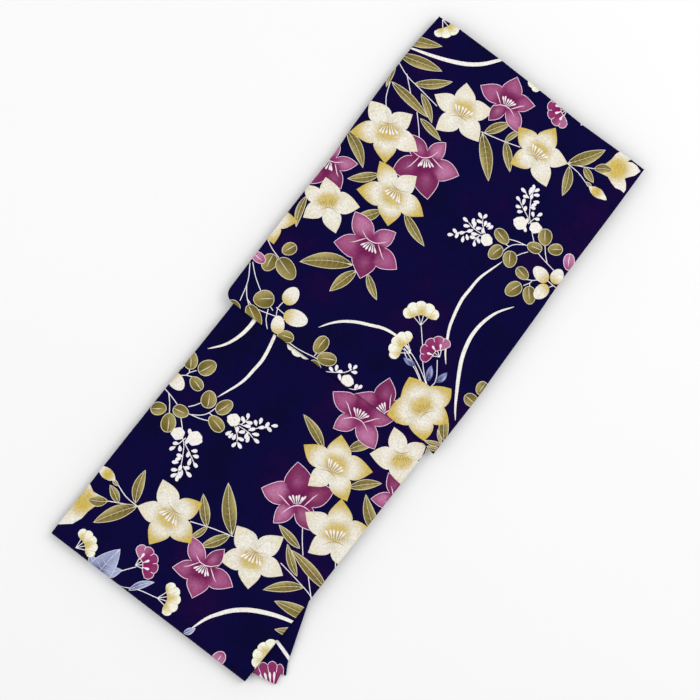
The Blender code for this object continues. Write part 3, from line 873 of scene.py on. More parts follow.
def uppermost(patches, middles):
    """The number of the patch that covers each place last, or -1."""
    upper = np.full(len(middles), -1)
    order = np.argsort(middles[:, 1])
    heights = middles[order, 1]
    for index, patch in enumerate(patches):
        low, high = patch.ring.min(axis=0), patch.ring.max(axis=0)
        near = order[np.searchsorted(heights, low[1]):np.searchsorted(heights, high[1])]
        near = near[(middles[near, 0] > low[0]) & (middles[near, 0] < high[0])]
        upper[near[inside(patch.ring, middles[near])]] = index
    return upper


def triangulate(outline, patches, lines, loose):
    """Triangles inside the outline, and for each the uppermost patch that it lies in, or -1."""
    points = []
    edges = []
    rings = [outline, *(patch.ring for patch in patches)]
    for line in [*(np.append(ring, ring[:1], axis=0) for ring in rings), *lines]:
        start = len(points)
        points.extend(Vector(p) for p in line.tolist())
        edges.extend((k, k + 1) for k in range(start, len(points) - 1))
    points.extend(Vector(p) for p in loose.tolist())
    made = delaunay_2d_cdt(points, edges, [], 0, CDT_REACH, True)
    flat, triangles, sources = np.array(made[0]), np.array(made[2]), made[3]
    middles = flat[triangles].mean(axis=1)
    kept = inside(outline, middles)
    used, triangles = np.unique(triangles[kept], return_inverse=True)
    upper = uppermost(patches, middles[kept])
    return flat[used], triangles.reshape(-1, 3), upper, [sources[k] for k in used]


def edge_loop(triangles):
    """The directed edges round a sheet in order, and the triangle that each belongs to."""
    directed = {}
    for index, (a, b, c) in enumerate(triangles.tolist()):
        for edge in ((a, b), (b, c), (c, a)):
            directed[edge] = index
    following = {a: (b, k) for (a, b), k in directed.items() if (b, a) not in directed}
    start = at = next(iter(following))
    loop = []
    while True:
        after, index = following[at]
        loop.append((at, after, index))
        at = after
        if at == start:
            return loop


def normals(place, flat):
    """Which way a sheet's outer face looks at places on it."""
    a, s = flat.T
    across = place(a + NORMAL_STEP, s) - place(a - NORMAL_STEP, s)
    along = place(a, s + NORMAL_STEP) - place(a, s - NORMAL_STEP)
    n = np.cross(along, across)
    return n / np.linalg.norm(n, axis=1)[:, None]


def corner_colours(flat, triangles, upper, patches):
    """The print's colour at each corner of each triangle."""
    colours = np.empty((len(triangles), 3, 3))
    for index in np.unique(upper):
        at = flat[triangles[upper == index]].reshape(-1, 2)
        paint = even(NAVY) if index < 0 else patches[index].paint
        colours[upper == index] = paint(at).reshape(-1, 3, 3)
    return colours


def sheet_of_cloth(name, outline, place, patches, lines, fold=None):
    """A thin closed shell: the printed outer face, its plain reverse and its narrow edge.

    place(across, along) lays the flat sheet's outer face in space. Where a sheet is folded at
    the place along it called fold, its bake map shows the two parts side by side.
    """
    loose = np.concatenate([grid_points(outline, GRID), *(patch.inner for patch in patches)])
    flat, triangles, upper, _ = triangulate(outline, patches, lines, loose)
    colours = corner_colours(flat, triangles, upper, patches)
    outer = place(*flat.T)

    loop = edge_loop(triangles)
    ring = [a for a, b, index in loop]
    loose = np.concatenate([grid_points(outline, BACK_GRID), *(line[1:-1] for line in lines)])
    back_flat, back_triangles, _, sources = triangulate(flat[ring], [], [], loose)
    inner = place(*back_flat.T) - CLOTH * normals(place, back_flat)
    partner = {}
    for vertex, made_from in enumerate(sources):
        partner.update({ring[k]: len(outer) + vertex for k in made_from if k < len(ring)})

    rim = []
    rim_colours = []
    rim_turns = []
    for k, (a, b, index) in enumerate(loop):
        corners = triangles[index].tolist()
        near, far = colours[index][corners.index(a)], colours[index][corners.index(b)]
        count = 3 if partner[a] == partner[b] else 4
        rim.append([a, b, partner[b], partner[a]][:count])
        rim_colours += [near, far, far, near][:count]
        rim_turns += [(k, 0), (k + 1, 0), (k + 1, 1), (k, 1)][:count]

    faces = triangles[:, ::-1].tolist() + (back_triangles + len(outer)).tolist() + rim
    obj = new_mesh(name, np.concatenate([outer, inner]), faces)
    tints = np.concatenate([
        colours[:, ::-1].reshape(-1, 3),
        np.broadcast_to(REVERSE, (back_triangles.size, 3)),
        np.array(rim_colours),
    ])
    layer = obj.data.color_attributes.new("Print", "FLOAT_COLOR", "CORNER")
    layer.data.foreach_set("color", np.column_stack([tints, np.ones(len(tints))]).ravel())

    low, high = outline.min(axis=0), outline.max(axis=0)
    folded = fold is not None
    fold = fold if folded else low[1]

    def on_map(share, rows, up):
        """Places on the bake map, from shares of its width and of a band of rows."""
        u = MAP_MARGIN + (1 - 2 * MAP_MARGIN) * share
        return np.stack([u, rows[0] + (rows[1] - rows[0]) * up], axis=-1).reshape(-1, 2)

    def lay_out(corners, rows):
        share = (corners[..., 0] - low[0]) / (high[0] - low[0])
        if folded:
            past_fold = (corners[..., 1].mean(axis=1) > fold)[:, None]
            share = (share + past_fold * (1 + MAP_MARGIN)) / (2 + MAP_MARGIN)
        away = np.abs(corners[..., 1] - fold) / max(high[1] - fold, fold - low[1])
        return on_map(share, rows, away)

    turn, step = np.array(rim_turns, float).T
    uv = obj.data.uv_layers.new(name="OFBake")
    uv.data.foreach_set("uv", np.concatenate([
        lay_out(flat[triangles[:, ::-1]], FRONT_ROWS),
        lay_out(back_flat[back_triangles], REVERSE_ROWS),
        on_map(turn / len(loop), EDGE_ROWS, step),
    ]).ravel())
    crisp = np.arange(len(faces)) >= len(faces) - len(rim)
    obj.data.polygons.foreach_set("use_smooth", ~crisp)
    return obj


def new_object(name, data):
    """An object in the scene."""
    made = bpy.data.objects.new(name, data)
    bpy.context.scene.collection.objects.link(made)
    return made


def new_mesh(name, points, faces):
    """An object in the scene with these points and faces."""
    mesh = bpy.data.meshes.new(name)
    mesh.from_pydata(np.asarray(points).tolist(), [], faces)
    mesh.update()
    return new_object(name, mesh)


def tube_faces(start, rings, sides, outward):
    """The faces of a closed tube whose rings of points are numbered on from start.

    Where the rings run the other way round, outward is false, so that the faces still look out.
    """
    faces = []
    for r in range(rings - 1):
        for k in range(sides):
            a, b = (start + r * sides + point for point in (k, (k + 1) % sides))
            faces.append((a, b, b + sides, a + sides) if outward else (a, a + sides, b + sides, b))
    near, far = (tuple(range(start + r * sides, start + (r + 1) * sides)) for r in (0, rings - 1))
    return faces + ([near[::-1], far] if outward else [near, far[::-1]])


def finish_piece(obj, material, node, area=None):
    """Give a sheet its material, attach it to the root, and hide the solid that it stands for."""
    obj.data.materials.append(material)
    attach(obj, "root")
    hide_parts(node)
    return obj


def across_lines(ends, places):
    """Lines straight across a sheet, from its left edge to its right one."""
    left, right = ends
    return [np.array([(left - LINE_OVERLAP, s), (right + LINE_OVERLAP, s)]) for s in places]


# ---- creases, hems and stitches

# Soft creases, each from one place on its sheet to another, bowed and highest in the middle.
Crease = namedtuple("Crease", "across along to_across to_along height width bow")
SLEEVE_CREASES = [Crease(*row) for row in (
    (-0.0270, 0.2990, 0.0230, 0.3140, 0.00100, 0.0070, 0.0030),
    (0.0420, 0.1220, 0.1010, 0.1010, 0.00030, 0.0160, -0.0050),
    (-0.1280, 0.3460, -0.0600, 0.4020, 0.00028, 0.0180, 0.0060),
    (-0.0900, -0.1500, -0.0200, -0.1720, 0.00040, 0.0100, 0.0040),
    (0.0300, -0.3350, 0.1100, -0.3080, 0.00035, 0.0130, -0.0040),
)]
BACK_CREASES = [Crease(*row) for row in (
    (-0.1150, 0.5600, -0.0500, 0.5480, 0.00030, 0.0160, 0.0050),
    (0.0150, 0.7150, 0.0620, 0.7420, 0.00032, 0.0120, -0.0030),
    (-0.0850, 1.0200, 0.0150, 1.0560, 0.00026, 0.0140, 0.0060),
    (0.0300, 1.3100, 0.1100, 1.2850, 0.00022, 0.0110, -0.0040),
    (-0.1200, 1.5200, -0.0300, 1.5350, 0.00026, 0.0170, 0.0050),
)]
CREASE_LINES = (-0.5, -0.28, -0.1, 0.1, 0.28, 0.5)


def crease_axes(crease):
    """Where a crease starts, its run from there to its end, and the direction beside it."""
    start = spot(crease)
    run = np.array((crease.to_across, crease.to_along)) - start
    return start, run, np.array((-run[1], run[0])) / np.linalg.norm(run)


def crease_line(crease, beside):
    """A line along a crease, a share of its width to one side."""
    start, run, side = crease_axes(crease)
    t = np.linspace(0, 1, 15)
    off = beside * crease.width + crease.bow * 4 * t * (1 - t)
    return start + np.outer(t, run) + np.outer(off, side)


def relief(creases, across, along):
    """How far the creases lift each place on a sheet."""
    rise = np.zeros(np.shape(across))
    for crease in creases:
        start, run, side = crease_axes(crease)
        off = np.stack([across, along], axis=-1) - start
        t = np.clip(off @ run / (run @ run), 0.0, 1.0)
        beside = off @ side - crease.bow * 4 * t * (1 - t)
        share = np.clip(np.abs(beside) * 2 / crease.width, 0.0, 1.0)
        rise = rise + crease.height * np.sin(math.pi * t) ** 0.8 * (1 - share**2) ** 2
    return rise


STITCH_LENGTH = 0.0018
STITCH_WIDTH = 0.0005
STITCH_LIFT = 0.00005
# How thick a stitch is, as a share, at places from one end (-1) to the other (1).
STITCH_RINGS = ((-1.0, 0.15), (-0.75, 0.75), (-0.3, 1.0), (0.3, 1.0), (0.75, 0.75), (1.0, 0.15))
STITCH_SIDES = 6


def stitches(name, place, spots, material):
    """Small prick stitches along a hem, each half sunk in the cloth at its (across, along)."""
    spots = np.asarray(spots, float)
    middles = place(*spots.T)
    ahead = place(spots[:, 0], spots[:, 1] + NORMAL_STEP) - middles
    ahead /= np.linalg.norm(ahead, axis=1)[:, None]
    points = []
    faces = []
    for middle, up, run in zip(middles, normals(place, spots), ahead):
        side = np.cross(up, run)
        faces += tube_faces(len(points), len(STITCH_RINGS), STITCH_SIDES, outward=True)
        for t, thick in STITCH_RINGS:
            at = middle + run * (t * STITCH_LENGTH / 2) + up * STITCH_LIFT
            for k in range(STITCH_SIDES):
                turn = 2 * math.pi * k / STITCH_SIDES
                round_it = side * math.cos(turn) + up * (0.6 * math.sin(turn))
                points.append(at + round_it * (thick * STITCH_WIDTH / 2))
    obj = new_mesh(name, points, faces)
    obj.data.shade_smooth()
    obj.data.materials.append(material)
    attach(obj, "root")
    return obj


# ---- the left back panel

# How far inside a rounded edge its extra lines lie.
ROLL_STEPS = (0.0003, 0.0008, 0.0015, 0.0030)
BEND_STEPS = 12

# The panel's flat size, and where the chart's zero lies on it, as the print is moved and larger.
BACK_PRINT_ACROSS = -0.0259
BACK_PRINT_DOWN = 0.8074
BACK_PRINT_SCALE = 1.088
BACK_REACH = 0.185
PRINT_UNDER_SLEEVE = 0.03
PRINT_PAST_HEM = 0.01


def build_left_back(material):
    """The panel on top of the stack, round the crosswise fold and along the underside."""
    top_length = FOLD_DOWN - SHOULDER_SET_BACK
    turns = np.linspace(0, math.pi, 65)
    bend = np.stack([FOLD_DEPTH * np.sin(turns), BODY_HEIGHT / 2 * np.cos(turns)], axis=1)
    fold_run = np.append(0, np.cumsum(np.linalg.norm(np.diff(bend, axis=0), axis=1)))
    under_start = top_length + fold_run[-1]
    length = under_start + FOLD_DOWN - HEM_SHORT_OF_SHOULDER

    def down_at(s):
        back = FOLD_DOWN - (s - under_start)
        return np.where(s < top_length, SHOULDER_SET_BACK + s, np.minimum(back, FOLD_DOWN))

    def place(x, s):
        down = down_at(s)
        turn = np.interp(s - top_length, fold_run, turns)
        set_back = roll_drop(down - SHOULDER_SET_BACK, SHOULDER_ROLL)
        top = panel_top(x, down) - np.where(s < top_length, set_back, 0.0)
        z = top / 2 * (1 + np.cos(turn)) + relief(BACK_CREASES, x, s)
        y = SHOULDER_Y - down - FOLD_DEPTH * np.sin(turn)
        return np.stack([x, y, z], axis=1)

    run = np.concatenate([
        np.linspace(0, top_length, 50),
        top_length + fold_run[4:-1:4],
        np.linspace(under_start, length, 50),
    ])

    def edge(column, inset=0.0):
        return np.stack([read(BODY_EDGES, column, down_at(run)) + inset, run], axis=1)

    def shows(points):
        across, along = points.T
        below_sleeve = along > LEFT_SLEEVE_ENDS[0].hem - PRINT_UNDER_SLEEVE
        return below_sleeve & (along < length + PRINT_PAST_HEM) & (np.abs(across) < BACK_REACH)

    outline = np.concatenate([edge("left"), edge("right")[::-1]])
    lines = [edge("left", step) for step in ROLL_STEPS]
    lines += [edge("right", -step) for step in ROLL_STEPS]
    lines += [crease_line(crease, share) for crease in BACK_CREASES for share in CREASE_LINES]
    ends = (BODY_EDGES[-1].left, BODY_EDGES[0].right)
    lines += across_lines(ends, np.linspace(top_length, under_start, BEND_STEPS + 1))
    lines += across_lines(ends, ROLL_STEPS)
    centre = (BACK_PRINT_ACROSS, BACK_PRINT_DOWN - SHOULDER_SET_BACK)
    patches = printed(shows, centre, True, BACK_PRINT_SCALE, repeats=(-2, -1, 0), askew=True)
    fold = top_length + fold_run[32]
    obj = sheet_of_cloth("back_left_cloth", outline, place, patches, lines, fold)
    return finish_piece(obj, material, "left_back")


# ---- the sleeves

# The narrow hem of a cuff's opening, its prick stitches, and how a sleeve's sides close.
CUFF_HEM = 0.0110
CUFF_HEM_RISE = 0.0003
CUFF_STITCH = 0.0200
CUFF_STITCHES = 11
SIDE_POINTS = 60
SEWN_CLEARANCE = 0.0001
OPEN_EDGE_SAG = 0.0007

# A sleeve's underside shows from the side, by its shoulder and beyond two places across it.
UNDER_SHOWS_FROM = -0.02
UNDER_SHOWS_BEYOND = (-0.15, 0.14)

# Where the chart's zero lies on the right sleeve, and how its edge droops past the body's.
RIGHT_SLEEVE_PRINT = (0.01, 0.12)
RIGHT_SLEEVE_DROOP = 0.0020
RIGHT_SLEEVE_DROOP_INSET = 0.0034
RIGHT_SLEEVE_DROOP_WIDTH = 0.0170


def build_sleeve(name, node, edges, ends, lift, patches, creases, material, thread):
    """A sleeve pressed flat, folded over at the shoulder, its two ends sewn at the hem.

    Across the flat sheet is as at the shoulder. Lower down, its width follows its two edges.
    """
    radius = SLEEVE_THICKNESS / 2
    bend = radius * math.pi / 2
    left_most, right_most = edges[0].left, edges[0].right
    width = right_most - left_most

    def limits(across):
        """Where the sleeve's flat part starts and ends, short of its two folds."""
        share = np.clip((across - left_most) / width, 0.0, 1.0)
        corner = 1 - np.minimum(share * width / TAMOTO_RADIUS, 1.0)
        rounded = TAMOTO_RADIUS * (1 - np.sqrt(1 - corner * corner))
        last = read(ends, "hem", share) - rounded - radius
        return read(ends, "shoulder", share) + radius, last

    def place(across, s):
        first, last = limits(across)
        run = np.abs(s)
        down = np.clip(first + run - bend, first, last)
        over = np.clip(1 - run / bend, 0.0, 1.0) * math.pi / 2
        beneath = np.clip((run - bend - (last - first)) / bend, 0.0, 1.0) * math.pi / 2
        left, right = sides(edges, down)
        x = left + (across - left_most) / width * (right - left)
        y = SHOULDER_Y - down + radius * np.sin(over) - radius * np.sin(beneath)

        closed = radius - SEWN_CLEARANCE
        cuff_sewn = smooth((down - CUFF_OPENING) / 0.01)
        body_sewn = smooth((SLEEVE_SEAM_TO_BODY - down) / 0.01)
        top = roll_drop(x - left, closed + (1 - cuff_sewn) * OPEN_EDGE_SAG)
        top += roll_drop(right - x, closed + (1 - body_sewn) * OPEN_EDGE_SAG)
        under = roll_drop(x - left, closed * cuff_sewn) + roll_drop(right - x, closed * body_sewn)
        outside = radius * np.cos(over) * np.cos(beneath)
        in_hem = smooth((CUFF_HEM + 0.001 - (x - left)) / 0.002) * (1 - cuff_sewn)
        raised = relief(creases, across, s) + CUFF_HEM_RISE * in_hem
        level = np.where(s >= 0, outside - top + raised, under - outside - raised)
        return np.stack([x, y, lift(x, down) + radius + level], axis=1)

    near_corner = np.linspace(0, 0.05, 12, endpoint=False)
    hem_places = left_most + width * np.concatenate([near_corner, np.linspace(0.05, 1, 31)])
    first, last = limits(hem_places)
    reach = 2 * bend + last - first - SEWN_CLEARANCE

    def side(across, sign, end):
        run = np.linspace(0, end, SIDE_POINTS) * sign
        return np.stack([np.full(SIDE_POINTS, across), run], axis=1)

    def hem(sign, short=0.0):
        return np.stack([hem_places, (reach - short) * sign], axis=1)

    outline = np.concatenate([
        side(left_most, 1, reach[0])[:-1],
        hem(1),
        side(right_most, 1, reach[-1])[:-1][::-1],
        side(right_most, -1, reach[-1])[1:-1],
        hem(-1)[::-1],
        side(left_most, -1, reach[0])[1:-1][::-1],
    ])
    lines = []
    for sign in (1, -1):
        lines += [side(left_most + step, sign, reach[0]) for step in ROLL_STEPS]
        lines += [side(right_most - step, sign, reach[-1]) for step in ROLL_STEPS]
        lines += [side(left_most + CUFF_HEM + step, sign, CUFF_OPENING) for step in (-0.001, 0.001)]
        lines += [hem(sign, bend * share)[1:-1] for share in np.linspace(0.2, 1, 5)]
    lines += [crease_line(crease, share) for crease in creases for share in CREASE_LINES]
    lines += across_lines((left_most, right_most), np.linspace(-bend, bend, 9))
    obj = sheet_of_cloth(name, outline, place, patches, lines, fold=0.0)
    spots = [(left_most + CUFF_HEM - 0.001 + wobble(k, 0.0003), sign * (0.012 + CUFF_STITCH * k))
             for k in range(CUFF_STITCHES) for sign in (1, -1)]
    with_pieces = [stitches(node + "_cuff_stitches", place, spots, thread)]
    return finish_piece(obj, material, node)


def left_sleeve_lift(x, down):
    return bed(x, down) + GAP


def left_sleeve_shows(points):
    across, along = points.T
    left, right = UNDER_SHOWS_BEYOND
    return (along > UNDER_SHOWS_FROM) | (across < left) | (across > right)


def right_sleeve_lift(x, down):
    beyond = np.maximum(read(BODY_EDGES, "left", down) + RIGHT_SLEEVE_DROOP_INSET - x, 0.0)
    return RIGHT_SLEEVE_LIFT - RIGHT_SLEEVE_DROOP * (beyond / RIGHT_SLEEVE_DROOP_WIDTH) ** 2


def right_sleeve_shows(points):
    return points[:, 0] < UNDER_SHOWS_BEYOND[0]


# ---- the slipped folds

FLAP_PRINT = (
    list(cloud(Cloud(74.5, 140.5, 58, 219, 34, "plum"))),
    [stroke([(10, 66), (30, 71), (55, 79), (80, 89)], 4.6, WHITE)],
)


def flap_top(x):
    return FLAP_ROOT_LIFT - FLAP_DROOP * smooth((x - FLAP_DROOP_FROM_X) / FLAP_DROOP_WIDTH)


def build_flap(name, node, edge, end_at_root, thickness, material):
    """A fold of a panel that has slipped out of the stack, seen past the side seam."""
    radius = thickness / 2
    sunk = (FLAP_THICKNESS - thickness) / 2
    first, last, outermost = edge[0].down, edge[-1].down, edge[-1].right
    bend = radius * math.pi

    def flat_run(x):
        share = np.clip((x - FLAP_ROOT_X) / (outermost - FLAP_ROOT_X), 0.0, 1.0)
        return end_at_root + (last - end_at_root) * share - radius - first

    def place(x, s):
        run = flat_run(x)
        down = first + np.where(s < run, s, np.clip(2 * run + bend - s, 0.0, run))
        turn = np.clip((s - run) / radius, 0.0, math.pi)
        rolled = roll_drop(read(edge, "right", down) - x, radius * 0.4) * np.cos(turn)
        y = SHOULDER_Y - down - radius * np.sin(turn)
        z = flap_top(x) - sunk - radius * (1 - np.cos(turn)) - rolled
        return np.stack([x, y, z], axis=1)

    downs = np.linspace(first, last - radius, 24)
    right = read(edge, "right", downs)
    there = np.stack([right, downs - first], axis=1)
    back = np.stack([right, 2 * flat_run(right) + bend - (downs - first)], axis=1)[::-1]
    root = np.array([(FLAP_ROOT_X, 2 * flat_run(FLAP_ROOT_X) + bend), (FLAP_ROOT_X, 0.0)])
    outline = np.concatenate([there, back, root])
    across = np.linspace(FLAP_ROOT_X - LINE_OVERLAP, outermost + LINE_OVERLAP, 12)
    lines = [np.stack([across, flat_run(across) + bend * share], axis=1)
             for share in np.linspace(0, 1, 7)]
    lines += [(side - (step, 0))[1:-1] for step in ROLL_STEPS for side in (there, back)]
    patches = printed(lambda points: points[:, 0] > 0.0, (FLAP_ROOT_X, 0.0), motifs=FLAP_PRINT)
    obj = sheet_of_cloth(name, outline, place, patches, lines)
    return finish_piece(obj, material, node, abs(twice_area(outline)) / 2)


# ---- the folded layers

# Each hidden layer is a page: how thick it is, how far it lies from the next, and its shape.
PAGE = 0.00085
PAGE_PITCH = 0.00116
LOWEST_PAGE = 0.00095
PAGE_WIDTH = 0.31
PAGE_WANDER = 0.0006
PAGE_STATIONS = 44
PAGE_COLUMNS = 14
PAGE_END_SHARE = 0.35
ROUND_THE_FOLD = 0.02
SIDE_ROUNDING = 5
# From here on, pages leave room for the slipped folds, and the last for the right sleeve.
TUCKED_PAGE = 3
SLEEVE_ROOM = 0.4610
FLAP_ROOM = 0.1165
FLAP_ROOM_FROM = 0.7060
FLAP_ROOM_TAPER = 0.006

# The pages are nested, the outermost first. Each goes from its lower leg round to its upper one.
# Insets are from the body's edges, and starts are how far down each leg begins.
Page = namedtuple("Page", "left right lower_start upper_start")
PAGES = (
    Page(left=0.0030, right=0.0016, lower_start=0.0225, upper_start=0.0052),
    Page(left=0.0022, right=0.0030, lower_start=0.0205, upper_start=0.0075),
    Page(left=0.0040, right=0.0022, lower_start=0.0176, upper_start=0.0060),
    Page(left=0.0026, right=0.0044, lower_start=0.0190, upper_start=0.0092),
    Page(left=0.0046, right=0.0030, lower_start=0.0120, upper_start=0.0110),
    Page(left=0.0034, right=0.0052, lower_start=SLEEVE_ROOM, upper_start=SLEEVE_ROOM + 0.003),
)


def page_height(nominal, x, down):
    """Where a level of the stack lies: its upper half follows the softness of the top."""
    middle = BODY_HEIGHT / 2
    share = np.maximum(nominal - middle, 0.0) / middle
    return nominal - share * (BODY_HEIGHT - bed(x, down))


def build_page(index, page):
    """One folded sheet, as rings round its cross-section, from its lower start to its upper one."""
    low = LOWEST_PAGE + PAGE_PITCH * index + PAGE / 2
    high = BODY_HEIGHT - low
    half = (high - low) / 2
    depth = FOLD_DEPTH * half / (BODY_HEIGHT / 2)
    downs = np.linspace(page.lower_start, FOLD_DOWN, PAGE_STATIONS)
    stations = [(d, low, 0.0, -1.0) for d in downs]
    for turn in np.linspace(0, math.pi, 13)[1:-1]:
        out = np.array((math.sin(turn) / depth, -math.cos(turn) / half))
        out /= np.linalg.norm(out)
        at = (FOLD_DOWN + depth * math.sin(turn), low + half * (1 - math.cos(turn)))
        stations.append((*at, *out))
    downs = np.linspace(FOLD_DOWN, page.upper_start, PAGE_STATIONS)
    stations += [(d, high, 0.0, 1.0) for d in downs]
    bends = np.radians(np.linspace(-90, 90, SIDE_ROUNDING)[1:-1])
    rings = []
    for number, (down, level, out_down, out_up) in enumerate(stations):
        wander = math.sin(19 * down + 1.7 * index) + 0.5 * math.sin(53 * down - index)
        wander *= PAGE_WANDER
        left, right = sides(BODY_EDGES, down)
        left, right = left + page.left + wander, right - page.right - wander
        if index > TUCKED_PAGE or (index == TUCKED_PAGE and level > low):
            right += (FLAP_ROOM - right) * smooth((down - FLAP_ROOM_FROM) / FLAP_ROOM_TAPER)
        columns = np.linspace(left + PAGE, right - PAGE, PAGE_COLUMNS)
        x = np.concatenate([
            columns,
            right - PAGE + PAGE * np.cos(bends),
            columns[::-1],
            left + PAGE - PAGE * np.cos(bends),
        ])
        across = np.ones(len(columns))
        off = np.concatenate([across, -np.sin(bends), -across, np.sin(bends)])
        off *= PAGE / 2 * (PAGE_END_SHARE if number in (0, len(stations) - 1) else 1.0)
        z = page_height(level + off * out_up, x, down)
        rings.append(np.stack([x, SHOULDER_Y - down - off * out_down, z], axis=1))
    return rings


def build_folded_layers(material):
    """The hidden panels as nested sheets, each with rounded edges, uneven where they show."""
    points = []
    faces = []
    area = 0.0
    for index, page in enumerate(PAGES):
        rings = build_page(index, page)
        faces += tube_faces(len(points), len(rings), len(rings[0]), outward=False)
        points.extend(np.concatenate(rings))
        legs = 2 * FOLD_DOWN - page.lower_start - page.upper_start
        area += PAGE_WIDTH * (legs + ROUND_THE_FOLD)
    obj = new_mesh("folded_layers", points, faces)
    obj.data.shade_smooth()
    return finish_piece(obj, material, "hidden_layers", area=area)


# ---- the material


def add_node(tree, kind, *inputs, **values):
    """A shader node. A value that is another node's socket is linked, not set."""
    made = tree.nodes.new("ShaderNode" + kind)
    for key, value in [*enumerate(inputs), *values.items()]:
        named = isinstance(key, str)
        if named and hasattr(made, key):
            setattr(made, key, value)
            continue
        socket = made.inputs[key.replace("_", " ") if named else key]
        if isinstance(value, bpy.types.NodeSocket):
            tree.links.new(value, socket)
        else:
            socket.default_value = value
    return made


def add_ramp(tree, source, stops, interpolation="LINEAR"):
    """The colours of a ramp, read by a node's first output."""
    made = add_node(tree, "ValToRGB", source.outputs[0])
    ramp = made.color_ramp
    ramp.interpolation = interpolation
    for k, (at, colour) in enumerate(stops):
        stop = ramp.elements[k] if k < 2 else ramp.elements.new(at)
        stop.position = at
        stop.color = (*colour, 1)
    return made.outputs[0]


def finish_material(tree, shader, colour, height, strength, distance):
    """Colour a material's shader and let a height roughen it."""
    bump = add_node(tree, "Bump", Height=height, Strength=strength, Distance=distance)
    tree.links.new(colour, shader.inputs["Base Color"])
    tree.links.new(bump.outputs[0], shader.inputs["Normal"])


def new_material(name, **values):
    """A material, its nodes, and its shader with the given inputs."""
    material = bpy.data.materials.new(name)
    material.use_nodes = True
    shader = material.node_tree.nodes["Principled BSDF"]
    for key, value in values.items():
        shader.inputs[key.replace("_", " ")].default_value = value
    return material, material.node_tree, shader


# What the uneven dye adds to a colour, in linear light, from place to place.
DYE = (
    (0.36, (0.0, 0.0002, 0.0)),
    (0.47, (0.0003, 0.0003, 0.012)),
    (0.56, (0.0016, 0.0, 0.009)),
    (0.66, (0.0065, 0.0, 0.013)),
)
# The print at the edges of the folds, as flecks of its colours.
FLECKS = ((0.0, OLIVE), (0.34, NAVY), (0.62, IVORY), (0.66, NAVY), (0.72, PLUM))


def woven_cotton(name, colouring):
    """Fine plain-woven cotton: its colour, uneven yarns both ways, and a weave to feel.

    colouring(tree, place) adds what gives the cloth its own colour, before dye and yarns.
    """
    material, tree, shader = new_material(
        name, Roughness=0.82, Specular_IOR_Level=0.03, Sheen_Weight=0.01, Sheen_Roughness=0.5
    )
    place = add_node(tree, "TexCoord").outputs["Object"]
    yarns = []
    for stretch in ((1, 0.35, 1), (0.35, 1, 1)):
        squeezed = add_node(tree, "Mapping", Vector=place, Scale=stretch).outputs[0]
        yarn = add_node(tree, "TexNoise", Vector=squeezed, Scale=900.0, Detail=2.0)
        yarns.append(yarn.outputs[0])
    weave = add_node(tree, "Math", *yarns, operation="ADD").outputs[0]
    tone = add_node(
        tree, "MapRange", Value=weave, From_Min=0.7, From_Max=1.3, To_Min=0.80, To_Max=1.20
    ).outputs[0]
    blotch = add_node(tree, "TexNoise", Vector=place, Scale=10.0, Detail=5.0, Roughness=0.6)
    dye = add_ramp(tree, blotch, DYE)
    dyed = add_node(tree, "VectorMath", colouring(tree, place), dye, operation="ADD").outputs[0]
    tint = add_node(tree, "VectorMath", dyed, operation="SCALE", Scale=tone)
    finish_material(tree, shader, tint.outputs[0], weave, 0.35, 0.0002)
    return material


def printed_cotton():
    """The cloth with its print, as each sheet's corners carry it."""
    return woven_cotton(
        "printed cotton",
        lambda tree, place: add_node(tree, "VertexColor", layer_name="Print").outputs[0],
    )


def folded_cotton():
    """The same cloth where only the edges of its folds show, with a little of the print on them."""

    def flecked(tree, place):
        flecks = add_node(tree, "TexNoise", Vector=place, Scale=38.0, Detail=1.0)
        return add_ramp(tree, flecks, FLECKS, "CONSTANT")

    return woven_cotton("folded cotton", flecked)


def cotton_thread():
    """Navy sewing thread with a fine twist."""
    material, tree, shader = new_material("cotton thread", Roughness=0.7, Specular_IOR_Level=0.1)
    place = add_node(tree, "TexCoord").outputs["Object"]
    twist = add_node(tree, "TexNoise", Vector=place, Scale=3000.0, Detail=1.0)
    tones = add_ramp(tree, twist, ((0.0, NAVY), (1.0, REVERSE)))
    finish_material(tree, shader, tones, twist.outputs[0], 0.4, 0.0001)
    return material


# ---- the stage

CAMERA_HEIGHT = 6.0
VIEW_WIDTH = 0.917
VIEW_CENTRE = (-0.0082, 0.0035)
VIEW_TURN = 37.5
SENSOR = 36.0
FLOOR_REACH = 6.0
FLOOR_Z = -0.0003
FLOOR_CORNERS = ((-1, -1), (1, -1), (1, 1), (-1, 1))
WORLD_LIGHT = 0.72
Lamp = namedtuple("Lamp", "name place size power")
LAMPS = (
    Lamp("key", (0.9, 1.8, 2.6), 2.0, 34),
    Lamp("fill", (-1.4, -0.8, 2.4), 2.6, 16),
)


def build_camera():
    """A camera straight above the robe, turned as the robe lies in the photo."""
    data = bpy.data.cameras.new("camera")
    data.sensor_width = SENSOR
    data.lens = SENSOR * (CAMERA_HEIGHT - BODY_HEIGHT) / VIEW_WIDTH
    data.clip_end = 50
    camera = new_object("camera", data)
    camera.location = (*VIEW_CENTRE, CAMERA_HEIGHT)
    camera.rotation_euler = (0, 0, math.radians(VIEW_TURN))
    bpy.context.scene.camera = camera


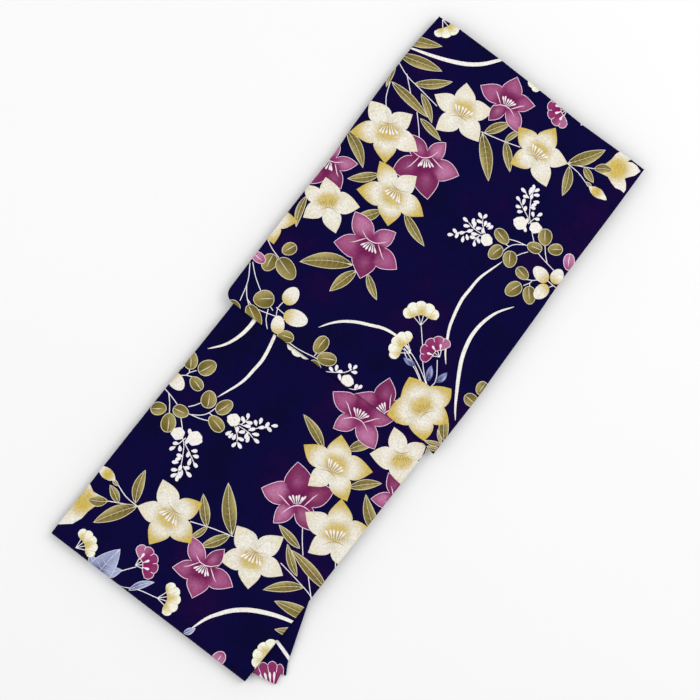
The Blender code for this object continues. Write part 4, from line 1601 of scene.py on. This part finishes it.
def build_stage():
    """A pale floor under wide soft lights."""
    corners = [(x * FLOOR_REACH, y * FLOOR_REACH, FLOOR_Z) for x, y in FLOOR_CORNERS]
    floor = new_mesh("floor", corners, [(0, 1, 2, 3)])
    material, tree, shader = new_material("pale floor", Roughness=0.9, Specular_IOR_Level=0.1)
    grain = add_node(tree, "TexNoise", Scale=60.0, Detail=3.0)
    tones = add_ramp(tree, grain, ((0.0, (0.893,) * 3), (1.0, (0.907,) * 3)))
    tree.links.new(tones, shader.inputs["Base Color"])
    floor.data.materials.append(material)
    for lamp in LAMPS:
        data = bpy.data.lights.new(lamp.name, "AREA")
        data.size = lamp.size
        data.energy = lamp.power
        light = new_object(lamp.name, data)
        light.location = lamp.place
        light.rotation_euler = Vector(lamp.place).to_track_quat("Z", "Y").to_euler()
    world = bpy.data.worlds.new("studio")
    world.use_nodes = True
    background = world.node_tree.nodes["Background"]
    background.inputs["Color"].default_value = (1, 1, 1, 1)
    background.inputs["Strength"].default_value = WORLD_LIGHT
    bpy.context.scene.world = world
    bpy.context.scene.view_settings.view_transform = "Standard"


def main():
    build_camera()
    build_stage()
    cotton = printed_cotton()
    thread = cotton_thread()
    build_left_back(cotton)
    patches = printed(left_sleeve_shows, repeats=(-1, 0))
    build_sleeve("sleeve_left_cloth", "left_sleeve", LEFT_SLEEVE_EDGES, LEFT_SLEEVE_ENDS,
                 left_sleeve_lift, patches, SLEEVE_CREASES, cotton, thread)
    patches = printed(right_sleeve_shows, RIGHT_SLEEVE_PRINT, repeats=(-1, 0, 1))
    build_sleeve("sleeve_right_cloth", "right_sleeve", RIGHT_SLEEVE_EDGES, RIGHT_SLEEVE_ENDS,
                 right_sleeve_lift, patches, (), cotton, thread)
    build_flap("front_right_cloth", "right_front", RIGHT_FRONT_EDGE, RIGHT_FRONT_END_AT_ROOT,
               FLAP_THICKNESS, cotton)
    build_flap("back_right_cloth", "right_back", RIGHT_BACK_EDGE, RIGHT_BACK_END_AT_ROOT,
               RIGHT_BACK_THICKNESS, cotton)
    build_folded_layers(folded_cotton())


main()
